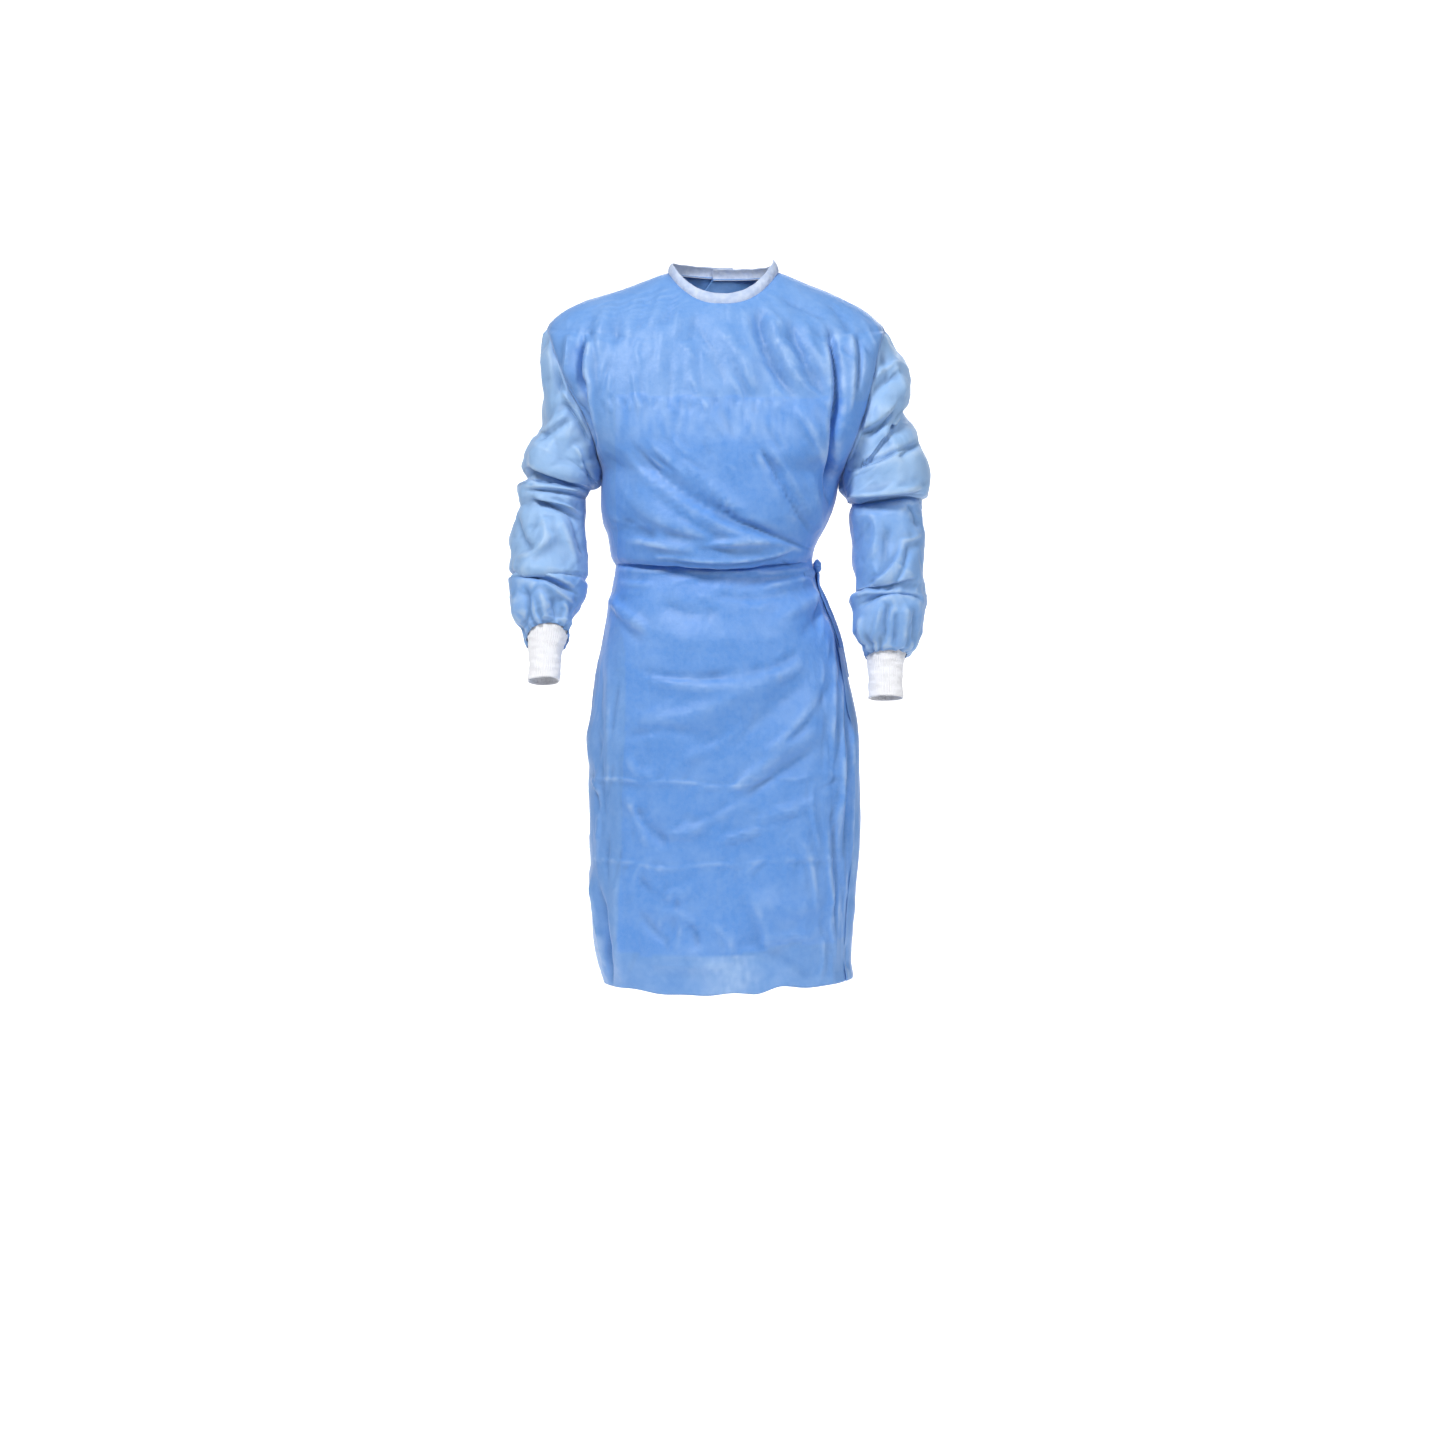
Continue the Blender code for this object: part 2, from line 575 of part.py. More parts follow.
def strip_points(path, surface, clearance):
    """A flat tie along the body: three points across it at every row of its path, and its normals."""
    places = [surface_row(step.depth, step.height) for step in path]
    row, across = np.array(places).T
    middle, normal = point_and_normal(surface, across, row)
    width = np.array([step.width for step in path])[:, None]
    along = np.gradient(middle, axis=0)
    along /= np.linalg.norm(along, axis=-1, keepdims=True)
    sideways = np.cross(along, normal) * width / 2
    middle = middle + normal * (clearance + TIE_WALL)
    return np.stack([middle - sideways, middle, middle + sideways], 1), normal[:, None]


def make_tie(name, path, surface, material, clearance=TIE_CLEARANCE):
    outer, normal = strip_points(path, surface, clearance)
    wall_object(name, outer, outer - TIE_WALL * normal, material)


def make_knot(material):
    """The waist knot: a lump with two furrows round it where the tie wraps over itself."""
    row, across = surface_row(KNOT_DEPTH, KNOT_HEIGHT)
    place, normal = point_and_normal(body_points, across, row)
    mesh = bpy.data.meshes.new("waist_knot")
    shape = bmesh.new()
    bmesh.ops.create_icosphere(shape, subdivisions=3, radius=1)
    for vertex in shape.verts:
        x, y, z = vertex.co
        wrap = 1 - 0.12 * np.cos(5 * (z + 0.35 * y)) ** 2 - 0.05 * np.cos(7 * y + 2 * x)
        vertex.co = [side * half / 2 * wrap for side, half in zip((x, y, z), KNOT_SIZE)]
    lowest = min(vertex.co.x for vertex in shape.verts)
    centre = place + [KNOT_CLEARANCE - lowest, 0, 0]
    bmesh.ops.translate(shape, verts=shape.verts, vec=centre)
    bmesh.ops.scale(shape, verts=shape.verts, vec=(MM, MM, MM))
    shape.to_mesh(mesh)
    shape.free()
    mesh.shade_smooth()
    mesh.materials.append(material)
    bpy.context.scene.collection.objects.link(bpy.data.objects.new("waist_knot", mesh))


def make_all():
    clear_scene()
    body = cloth_material("body_cloth", CLOTH_BLUE, 0.55)
    sleeve = cloth_material("sleeve_cloth", SLEEVE_BLUE, 0.6)
    knit = cloth_material("knit_cuff", KNIT_WHITE, 0.9)
    tape = cloth_material("neck_tape", BINDING_GREY, 0.75)
    pieces = [
        ("front_panel", front_points(), body, ["first_column", "last_column", "last_row"]),
        ("back_panel_left", inner_back_points(), body, ["first_column", "last_row"]),
        ("back_panel_right", outer_back_points(), body, ["last_column", "last_row"]),
        ("sleeve_right", sleeve_points(RIGHT_SLEEVE, -1), sleeve, ["first_row"]),
        ("sleeve_left", sleeve_points(LEFT_SLEEVE, 1), sleeve, ["first_row"]),
    ]
    closed = [name.startswith("sleeve") for name, *_ in pieces]
    normals = shared_normals([points for _, points, *_ in pieces], closed)
    for (name, points, cloth, seams), ring, normal in zip(pieces, closed, normals):
        outer = pulled_in(points, SEAM_GAP / 2, seams)
        wall_object(name, outer, outer - CLOTH_WALL * normal, cloth, closed=ring)
    for name, table, side in (("cuff_right", CUFF_RIGHT, -1), ("cuff_left", CUFF_LEFT, 1)):
        outer = cuff_points(table, side)
        wall_object(name, outer, outer - KNIT_WALL * normals_of(outer, True), knit, closed=True)
    make_binding(tape)
    make_tie("waist_tie_front", TIE_FRONT, body_points, body, FRONT_TIE_CLEARANCE)
    make_tie("waist_tie_outer", TIE_OUTER, lapped_points, body)
    make_tie("tie_end_front", END_FRONT, lapped_points, body)
    make_tie("tie_end_rear", END_REAR, lapped_points, body)
    make_knot(body)


make_all()
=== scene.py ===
# %% [markdown]
# # A surgical gown in the shape that it has when worn
# The gown is one garment of thin nonwoven cloth: a front panel, two back panels that lap over each other,
# two full sleeves pushed up the arms, knit cuffs, a tape round the neck and ties at the left of the
# waist. Each cut piece is its own surface here, because that is how the real one is made, and because a
# seam only looks like a seam where two pieces meet.
#
# The frame comes from the solid model: +Z is up, the gown's front faces -Y and the wearer's left is +X.

# %% Start from the solid model
from collections import namedtuple

import bmesh
import bpy
import numpy as np
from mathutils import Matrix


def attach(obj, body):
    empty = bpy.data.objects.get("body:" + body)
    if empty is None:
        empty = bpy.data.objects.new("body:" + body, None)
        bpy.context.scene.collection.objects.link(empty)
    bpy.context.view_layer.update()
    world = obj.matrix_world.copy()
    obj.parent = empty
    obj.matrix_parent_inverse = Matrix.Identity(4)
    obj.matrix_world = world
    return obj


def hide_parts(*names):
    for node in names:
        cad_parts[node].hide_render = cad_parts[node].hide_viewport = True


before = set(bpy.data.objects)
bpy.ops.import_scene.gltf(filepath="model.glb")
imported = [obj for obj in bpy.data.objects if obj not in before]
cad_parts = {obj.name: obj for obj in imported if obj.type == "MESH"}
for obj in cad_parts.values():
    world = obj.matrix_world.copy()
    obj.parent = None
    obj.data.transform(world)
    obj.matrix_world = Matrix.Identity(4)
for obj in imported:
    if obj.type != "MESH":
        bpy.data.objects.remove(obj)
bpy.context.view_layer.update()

# %% [markdown]
# ## The camera, floor and light
# The figure was photographed square on, with the lens level with the middle of the picture. A camera 4.2
# m away shows the hem of the skirt dip a little at the middle, as it does there. The floor is far below,
# where the wearer's feet would be. The light is a big soft one from the front and above with white walls
# all round, which is how a catalogue figure is lit, so the folds show as gentle shades and not as hard
# shadows.

# %% Camera
CAMERA_DISTANCE = 4.2
CAMERA_HEIGHT = -0.664
FLOOR_HEIGHT = -1.58
LENS = 71.2

camera_data = bpy.data.cameras.new("studio_camera")
camera_data.lens = LENS
camera_data.sensor_width = 36
camera = bpy.data.objects.new("studio_camera", camera_data)
camera.location = (0.002, -CAMERA_DISTANCE, CAMERA_HEIGHT)
camera.rotation_euler = (np.pi / 2, 0, 0)
bpy.context.scene.collection.objects.link(camera)
bpy.context.scene.camera = camera
print("camera", CAMERA_DISTANCE, "m in front")


# %% Floor and backdrop
def plain_material(name, colour, roughness):
    material = bpy.data.materials.new(name)
    material.use_nodes = True
    shader = material.node_tree.nodes["Principled BSDF"]
    shader.inputs["Base Color"].default_value = (*colour, 1)
    shader.inputs["Roughness"].default_value = roughness
    return material


def sweep_points(width, front, back, height, bend, steps):
    """A studio sweep: the floor runs back, turns up through a quarter circle of radius bend, and rises."""
    turn = np.linspace(0, np.pi / 2, steps)
    y = np.concatenate([[front], back - bend + bend * np.sin(turn), [back]])
    z = np.concatenate([[0], bend - bend * np.cos(turn), [height]]) + FLOOR_HEIGHT
    x = np.linspace(-width / 2, width / 2, 3)
    return np.stack(np.broadcast_arrays(x[:, None], y[None], z[None]), axis=-1)


def grid_faces(rows, columns, closed=False):
    """The quads of a grid of points, in the order row by column, which wraps round where it is closed."""
    index = np.arange(rows * columns).reshape(rows, columns)
    if closed:
        index = np.concatenate([index, index[:, :1]], axis=1)
    corners = (index[:-1, :-1], index[:-1, 1:], index[1:, 1:], index[1:, :-1])
    return np.stack([corner.ravel() for corner in corners], axis=1)


def grid_mesh(name, points, closed=False):
    """A mesh through a grid of points in metres."""
    mesh = bpy.data.meshes.new(name)
    faces = grid_faces(*points.shape[:2], closed)
    mesh.from_pydata(points.reshape(-1, 3).tolist(), [], faces.tolist())
    mesh.shade_smooth()
    return mesh


sweep = bpy.data.objects.new(
    "studio_floor", grid_mesh("studio_floor", sweep_points(5.4, -1, 4, 5, 1.2, 14))
)
paper = plain_material("studio_paper", (0.93, 0.93, 0.94), 0.95)
glow = paper.node_tree.nodes["Principled BSDF"]
glow.inputs["Emission Color"].default_value = (1, 1, 1, 1)
glow.inputs["Emission Strength"].default_value = 0.6
sweep.data.materials.append(paper)
bpy.context.scene.collection.objects.link(sweep)


# %% Light
def soft_light(name, place, aim, size, power, colour=(1, 1, 1)):
    data = bpy.data.lights.new(name, "AREA")
    data.shape = "RECTANGLE"
    data.size, data.size_y = size
    data.energy = power
    data.color = colour
    light = bpy.data.objects.new(name, data)
    light.location = place
    away = np.array(place) - np.array(aim)
    flat = np.hypot(away[0], away[1])
    light.rotation_euler = (np.arctan2(flat, away[2]), 0, np.arctan2(away[0], -away[1]))
    bpy.context.scene.collection.objects.link(light)


soft_light("key_light", (-1.4, -2.5, 2.2), (0, 0, -0.3), (0.9, 0.9), 108)
soft_light("fill_light", (2.1, -2.8, 1.3), (0, 0, -0.35), (1.3, 1.3), 58)
soft_light("side_light_left", (-3.2, -0.4, 0.2), (0, 0, -0.5), (1.6, 2.6), 5)
soft_light("side_light_right", (3.2, 0.2, 0.2), (0, 0, -0.5), (1.6, 2.6), 5)
soft_light("back_light", (0.6, 3.2, 1.4), (0, 0, -0.4), (2.4, 1.6), 30)
world = bpy.data.worlds.new("studio_walls")
world.use_nodes = True
world.node_tree.nodes["Background"].inputs["Color"].default_value = (0.96, 0.98, 1, 1)
world.node_tree.nodes["Background"].inputs["Strength"].default_value = 0.22
bpy.context.scene.world = world
bpy.context.scene.view_settings.view_transform = "Standard"
print("lights and floor set")

# %% [markdown]
# ## The sections of the body
# The gown hangs on a figure, so its large form is the figure's: wide at the shoulders, drawn in at the
# waist, and a gently flared skirt. It could be draped by a simulation over a model of a person, but then
# neither the outline nor the place of a fold would be known. A table of level sections gives both. Each
# row holds where the front and back panels meet at the right and at the left, which is the side seam,
# then the armhole, then the shoulder seam, and how far forward and back the cloth stands in the middle.

# %% Sections of the body, in millimetres
Section = namedtuple(
    "Section",
    "right_x right_z left_x left_z side_front side_back front_y front_z back_y back_z",
)
BODY = [
    Section(-173, -1045, 190.5, -1037, 0, 0, -133, -1052, 140, -1047),
    Section(-181, -1015, 188.5, -1010, 0, 0, -134, -1020, 142, -1014),
    Section(-187, -970, 188.5, -968, 0, 0, -136, -973, 145, -970),
    Section(-190, -920, 191.5, -920, 0, 0, -137, -922, 148, -920),
    Section(-192, -862, 195.5, -862, 0, 0, -138, -863, 151, -862),
    Section(-194, -800, 198.5, -800, 0, 0, -139, -800, 154, -800),
    Section(-194, -745, 198.5, -745, 0, 0, -139, -745, 156, -745),
    Section(-197, -692, 196.5, -692, 0, 0, -139, -692, 157, -692),
    Section(-190, -645, 190.5, -645, 0, 0, -138, -645, 154, -645),
    Section(-184, -598, 180.5, -598, 0, 0, -136, -598, 147, -598),
    Section(-174, -540, 168.5, -540, 0, 0, -132, -540, 134, -540),
    Section(-165, -490, 149.5, -490, 0, 0, -125, -492, 117, -490),
    Section(-158, -455, 138, -455, 0, 0, -117, -459, 104, -455),
    Section(-155, -434, 134, -432, 0, 0, -110, -439, 99, -432),
    Section(-158, -428, 133.5, -425, 0, 0, -122, -443, 100, -424),
    Section(-161, -421, 135, -416, 0, 0, -134, -438, 103, -416),
    Section(-163, -408, 138, -405, 0, 0, -140, -424, 107, -406),
    Section(-166, -389, 145, -390, 0, 0, -144, -401, 112, -388),
    Section(-173, -368, 156, -368, 0, 0, -146, -371, 120, -366),
    Section(-176, -338, 166, -341, 0, 0, -145, -340, 129, -334),
    Section(-175, -303, 171, -312, 0, 0, -143, -306, 136, -300),
    Section(-181, -270, 182, -284, -50, 50, -141, -276, 138, -266),
    Section(-197, -225, 200, -238, -73, 74, -137, -236, 138, -216),
    Section(-224, -175, 216, -185, -70, 72, -130, -196, 133, -166),
    Section(-243, -125, 229, -125, -51, 53, -121, -157, 123, -120),
    Section(-252, -99, 237, -99, -27, 28, -114, -131, 113, -90),
    Section(-256, -85, 241, -88, 0, 0, -108, -113, 106, -72),
    Section(-238, -65, 226, -71, 0, 0, -104, -103, 101, -60),
    Section(-204, -46, 194, -50, 0, 0, -98, -92, 96, -45),
    Section(-160, -33, 155, -31, 0, 0, -92, -80, 90, -28),
    Section(-116, -17, 118, -16, 0, 0, -86, -69, 83, -12),
    Section(-77, -3, 83, -2, 0, 0, -79, -58, 76, 0),
]
WAIST_ROW = 11
CHEST_ROW = 18
UNDERARM_ROW = 20
SHOULDER_ROW = 26
NECK_ROW = len(BODY) - 1
SQUARENESS = 2.35
HEM_LIFT, HEM_LIFT_ROWS = 10, 3
HEM_LIFT_STARTS, HEM_LIFT_FULL, HEM_LIFT_ENDS = 45, 90, 175
CLOTH_WALL = 0.9
SEAM_GAP = 0.3
OVERLAP_RISE = 5.5
OVERLAP_BLEND = 0.12

Stretch = namedtuple("Stretch", "first last steps")
ARMHOLE_STEPS = 72
STRETCHES = [
    Stretch(0, 3.78, 38),
    Stretch(3.78, 4.08, 8),
    Stretch(4.08, 5.8, 20),
    Stretch(5.8, 6.1, 8),
    Stretch(6.1, WAIST_ROW, 46),
    Stretch(WAIST_ROW, CHEST_ROW, 60),
    Stretch(CHEST_ROW, UNDERARM_ROW, 8),
    Stretch(UNDERARM_ROW, SHOULDER_ROW, ARMHOLE_STEPS),
    Stretch(SHOULDER_ROW, NECK_ROW, 14),
]
PANEL_ROWS = np.concatenate(
    [np.linspace(s.first, s.last, s.steps, endpoint=False) for s in STRETCHES]
    + [[NECK_ROW]]
)
print(len(BODY), "sections,", len(PANEL_ROWS), "rows of points in a panel")


# %% Read a table smoothly, and turn a section into points
def smooth_step(value):
    """0 below 0, 1 above 1, and an S-shaped cubic between."""
    value = np.clip(value, 0, 1)
    return value * value * (3 - 2 * value)


def read_columns(table, at):
    """The table's columns at fractional rows: a cubic between two rows whose slope at each row is the
    harmonic mean of the two steps beside it, so it never overshoots what the table says."""
    values = np.array(table, float)
    steps = np.diff(values, axis=0)
    slopes = np.zeros_like(values)
    before, after = steps[:-1], steps[1:]
    product = before * after
    slopes[1:-1] = np.divide(
        2 * product, before + after, out=np.zeros_like(product), where=product > 0
    )
    slopes[0], slopes[-1] = steps[0], steps[-1]
    at = np.clip(np.asarray(at, float), 0, len(values) - 1)
    low = np.minimum(at.astype(int), len(values) - 2)
    t = (at - low)[..., None]
    return (
        values[low] * (1 + 2 * t) * (1 - t) ** 2
        + slopes[low] * t * (1 - t) ** 2
        + values[low + 1] * t * t * (3 - 2 * t)
        - slopes[low + 1] * t * t * (1 - t)
    )


def hem_lift(x, row):
    """How far the front's hem is lifted at the wearer's left. It dies out over the lowest rows."""
    start = smooth_step((x - HEM_LIFT_STARTS) / (HEM_LIFT_FULL - HEM_LIFT_STARTS))
    end = smooth_step((HEM_LIFT_ENDS - x) / (HEM_LIFT_ENDS - HEM_LIFT_FULL))
    return HEM_LIFT * start * end * smooth_step(1 - row / HEM_LIFT_ROWS)


def body_points(across, row, behind=False):
    """Half a superellipse in front and half behind. across runs 0 to 1 over the front from the wearer's right
    to the left, and 1 to 2 back over the back. The height eases from the sides to the middle as the square of
    the depth, which rounds the shoulders."""
    column = dict(zip(Section._fields, np.moveaxis(read_columns(BODY, row), -1, 0)))
    across = np.asarray(across, float)
    in_front = across < 1 if behind else across <= 1
    cosine = np.cos(np.where(in_front, np.pi * (1 - across), np.pi * (across - 1)))
    bulge = (1 - np.abs(cosine) ** SQUARENESS) ** (1 / SQUARENESS)
    share = (1 + cosine) / 2
    x = column["right_x"] + (column["left_x"] - column["right_x"]) * share
    side_z = column["right_z"] + (column["left_z"] - column["right_z"]) * share
    edge_y = np.where(in_front, column["side_front"], column["side_back"])
    middle_y = np.where(in_front, column["front_y"], column["back_y"])
    middle_z = np.where(in_front, column["front_z"], column["back_z"])
    y = edge_y + (middle_y - edge_y) * bulge
    z = side_z + (middle_z - side_z) * bulge**2
    z = z + np.where(in_front, hem_lift(x, row), 0)
    return np.stack([x, y, z], axis=-1)


def direction_out(surface, across, row, nudge=0.004):
    """The cross product of the surface's two slopes, of length 1."""
    side = surface(across + nudge, row) - surface(across - nudge, row)
    up = surface(across, row + nudge) - surface(across, row - nudge)
    normal = np.cross(side, up)
    return normal / np.maximum(np.linalg.norm(normal, axis=-1, keepdims=True), 1e-9)


def lapped_points(across, row):
    """The right back panel lies over the left one: the body's points moved out, from nothing at its own
    seam."""
    rise = OVERLAP_RISE * smooth_step((2 - across) / OVERLAP_BLEND)
    out = direction_out(body_points, across, row)
    return body_points(across, row, behind=True) + rise[..., None] * out


# %% [markdown]
# ## The sleeves' rings
# The sleeves are long and full, and they have been pushed up, so the cloth sits in rings that overhang
# each other like the bellows of a lamp. A tube along a curve would be far too regular. Each row of the
# table is one ring: where its outline shows on the side away from the body and next to it, how far
# forward its middle is, half its depth, and how far its front is raised. Rows that lie close together, or
# step back, make a fold that hangs over the next one.

# %% Rings of the sleeves and cuffs, in millimetres
Ring = namedtuple("Ring", "far_x far_z near_x near_z middle_y half_depth front_rise")
RIGHT_SLEEVE = [
    Ring(-266, -128, -177.5, -306, 0, 76, 0),
    Ring(-266, -178, -178.5, -308, 0, 77, 0),
    Ring(-265, -228, -180, -310, -1, 77, 0),
    Ring(-281, -250, -181.5, -311.5, -2, 76, 4),
    Ring(-292, -273, -183, -313, -3, 75, 6),
    Ring(-291, -294, -186, -315, -4, 72, 6),
    Ring(-281, -306, -192.5, -317.5, -5, 65, 4),
    Ring(-281.5, -313, -195.5, -321, -6, 63, 2),
    Ring(-296, -318, -197, -328, -7, 68, 2),
    Ring(-295.5, -334, -198.5, -338.5, -9, 67, 2),
    Ring(-292, -348, -199.5, -352, -11, 62, 2),
    Ring(-303, -365, -199, -368, -14, 66, 0),
    Ring(-309, -394, -196, -390, -22, 67, 0),
    Ring(-306, -420, -196, -424, -33, 64, 2),
    Ring(-307, -441, -194, -447, -42, 64, 4),
    Ring(-300, -450, -198, -456, -46, 56, 6),
    Ring(-309, -456, -193, -465, -50, 59, 8),
    Ring(-308, -475, -195, -482, -57, 57, 10),
    Ring(-302, -498, -205, -502, -66, 51, 14),
    Ring(-295, -522, -214, -516, -75, 43, 18),
    Ring(-289, -538, -217, -530, -81, 37, 22),
    Ring(-284, -549, -215.5, -541, -85, 34, 24),
]
LEFT_SLEEVE = [
    Ring(258, -116, 173.5, -316, 0, 76, 0),
    Ring(268, -128, 174.5, -319, 0, 77, 0),
    Ring(276, -165, 175.5, -322, -1, 77, 0),
    Ring(275, -195, 177, -326, -2, 76, -4),
    Ring(264, -207, 178, -329, -2, 70, -8),
    Ring(267, -215, 179, -331, -3, 71, -8),
    Ring(280, -230, 180, -332.5, -4, 74, -6),
    Ring(291, -254, 181, -334, -5, 75, -4),
    Ring(298, -283, 182, -335.5, -6, 76, -2),
    Ring(305, -318, 183, -338, -8, 77, 0),
    Ring(303, -331, 183.5, -342, -9, 74, 0),
    Ring(291, -336, 188, -345, -10, 63, 0),
    Ring(292, -347, 186, -352, -11, 62, 0),
    Ring(296, -368, 183, -366, -14, 62, 0),
    Ring(297, -389, 185.5, -388, -20, 62, 0),
    Ring(293.5, -410, 189, -410, -28, 60, 0),
    Ring(297, -437, 192, -436, -38, 60, 2),
    Ring(298.5, -460, 197.5, -459, -46, 58, 6),
    Ring(296, -474, 199, -476, -51, 54, 8),
    Ring(298, -487, 184.5, -486, -54, 60, 8),
    Ring(294, -509, 188, -508, -59, 59, 6),
    Ring(289, -534, 187, -534, -63, 56, 4),
    Ring(283, -556, 203, -556, -67, 46, 6),
    Ring(272, -570, 205.5, -571, -70, 36, 8),
]
CUFF_RIGHT = [
    Ring(-278.5, -541, -220.3, -536, -84, 28, 18),
    Ring(-277.5, -554, -225, -550, -88, 26, 12),
    Ring(-276, -568, -230, -566, -93, 24, 8),
    Ring(-275, -586, -231, -585, -99, 23, 6),
    Ring(-277, -605, -231.5, -604, -105, 23, 6),
]
CUFF_LEFT = [
    Ring(268, -563, 209.5, -564, -69, 31, 6),
    Ring(264, -577, 211, -578, -73, 27, 5),
    Ring(261.5, -592, 213, -592, -77, 24.5, 4),
    Ring(261, -611, 213, -611, -82, 24, 4),
    Ring(261.5, -629, 212, -629, -87, 24, 4),
]
RING_SQUARENESS = 2.15
RING_POINTS = 2 * ARMHOLE_STEPS
STEPS_PER_RING = 10
print(len(RIGHT_SLEEVE), "and", len(LEFT_SLEEVE), "sleeve rings")


# %% Turn rings into points
def ring_points(ring, turn, squareness=RING_SQUARENESS):
    """A superellipse from the far outline at turn 0, over the front, to the near outline at half a turn, and
    back behind. Its front is raised and its back is lowered by front_rise."""
    column = dict(zip(Ring._fields, np.moveaxis(np.asarray(ring, float), -1, 0)))
    cosine, sine = np.cos(turn), np.sin(turn)
    along = np.sign(cosine) * np.abs(cosine) ** (2 / squareness)
    depth = np.sign(sine) * np.abs(sine) ** (2 / squareness)
    share = (1 + along) / 2
    x = column["near_x"] + (column["far_x"] - column["near_x"]) * share
    z = column["near_z"] + (column["far_z"] - column["near_z"]) * share
    y = column["middle_y"] - column["half_depth"] * depth
    return np.stack([x, y, z + column["front_rise"] * depth], axis=-1)


def outward_rings(rings, side):
    """The points of each ring in the order that makes the faces point out, on either side of the body."""
    return rings if side > 0 else rings[:, ::-1]


def sleeve_points(table, side):
    """The first ring is the armhole itself, point for point, so that the sleeve meets both panels. The next
    rings carry the armhole's shape on and let it go over three and a half rows of the table."""
    turns = np.linspace(0, 2 * np.pi, RING_POINTS, endpoint=False)
    rows = SHOULDER_ROW + (UNDERARM_ROW - SHOULDER_ROW) * np.minimum(
        turns / np.pi, 2 - turns / np.pi
    )
    front = turns <= np.pi
    armhole = body_points(np.zeros_like(turns) if side < 0 else np.ones_like(turns), rows)
    sections = dict(zip(Section._fields, read_columns(BODY, rows).T))
    armhole[:, 1] = np.where(front, sections["side_front"], sections["side_back"])
    top, bottom = armhole[0], armhole[RING_POINTS // 2]
    plain = np.array([top[0], top[2], bottom[0], bottom[2], 0, armhole[:, 1].max(), 0])
    odd = armhole - ring_points(plain, turns)
    at = np.linspace(-1, len(table) - 1, STEPS_PER_RING * len(table) + 1)[1:, None]
    rings = ring_points(read_columns([tuple(plain), *table], at + 1), turns[None, :])
    rings = rings + (1 - smooth_step((at + 1) / 3.5))[..., None] * odd
    return outward_rings(np.concatenate([armhole[None], rings]), side)


def ring_turns(side):
    """The turn of every point of a ring, in the order that the rings have."""
    turns = np.linspace(0, 2 * np.pi, RING_POINTS, endpoint=False)
    return turns if side > 0 else turns[::-1]


# %% One direction for every point that two pieces share
def shared_normals(grids, closed):
    """The sum of the areas and directions of the faces round each point in every piece. Points that lie
    within a hundredth of a millimetre of each other count as one, so two pieces agree at their seam."""
    every = np.concatenate([grid.reshape(-1, 3) for grid in grids])
    _, index = np.unique(np.round(every, 2), axis=0, return_inverse=True)
    index = index.reshape(-1)
    total = np.zeros((index.max() + 1, 3))
    start = 0
    for grid, ring in zip(grids, closed):
        rows, columns = grid.shape[:2]
        place = index[start : start + rows * columns].reshape(rows, columns)
        start += rows * columns
        if ring:
            grid = np.concatenate([grid, grid[:, :1]], axis=1)
            place = np.concatenate([place, place[:, :1]], axis=1)
        face = np.cross(grid[1:, 1:] - grid[:-1, :-1], grid[1:, :-1] - grid[:-1, 1:])
        face = face.reshape(-1, 3)
        for corner in (place[:-1, :-1], place[:-1, 1:], place[1:, 1:], place[1:, :-1]):
            np.add.at(total, corner.ravel(), face)
    total /= np.maximum(np.linalg.norm(total, axis=1, keepdims=True), 1e-9)
    cuts = np.cumsum([grid.shape[0] * grid.shape[1] for grid in grids])[:-1]
    parts = np.split(total[index], cuts)
    return [part.reshape(grid.shape) for part, grid in zip(parts, grids)]

# %% [markdown]
# ## Folds and creases
# A fold in thin cloth is rarely a plain wave: it is steep on one side and gentle on the other, it starts
# and ends in nothing, and a sharp crease has a crest like a ridge of paper. So each one is a row of a
# table: a curved line through three points as it is seen from the front or the back, how far it reaches
# to the left and to the right of the line, its height (a furrow is negative), how round it is (1 is a
# sharp crest and 2 a soft one) and how far its crest sags down, if at all. Left and right are those of someone who
# walks along the line.

# %% The fold tables' columns, and the sum of their folds
Crease = namedtuple("Crease", "x0 z0 x1 z1 x2 z2 left right height round sag", defaults=[0])
CREASE_PIECES = 9
CREASE_TAPER = 0.28
STEEP_SIDE, CREST, NARROWEST = 0.75, 0.6, 2.8


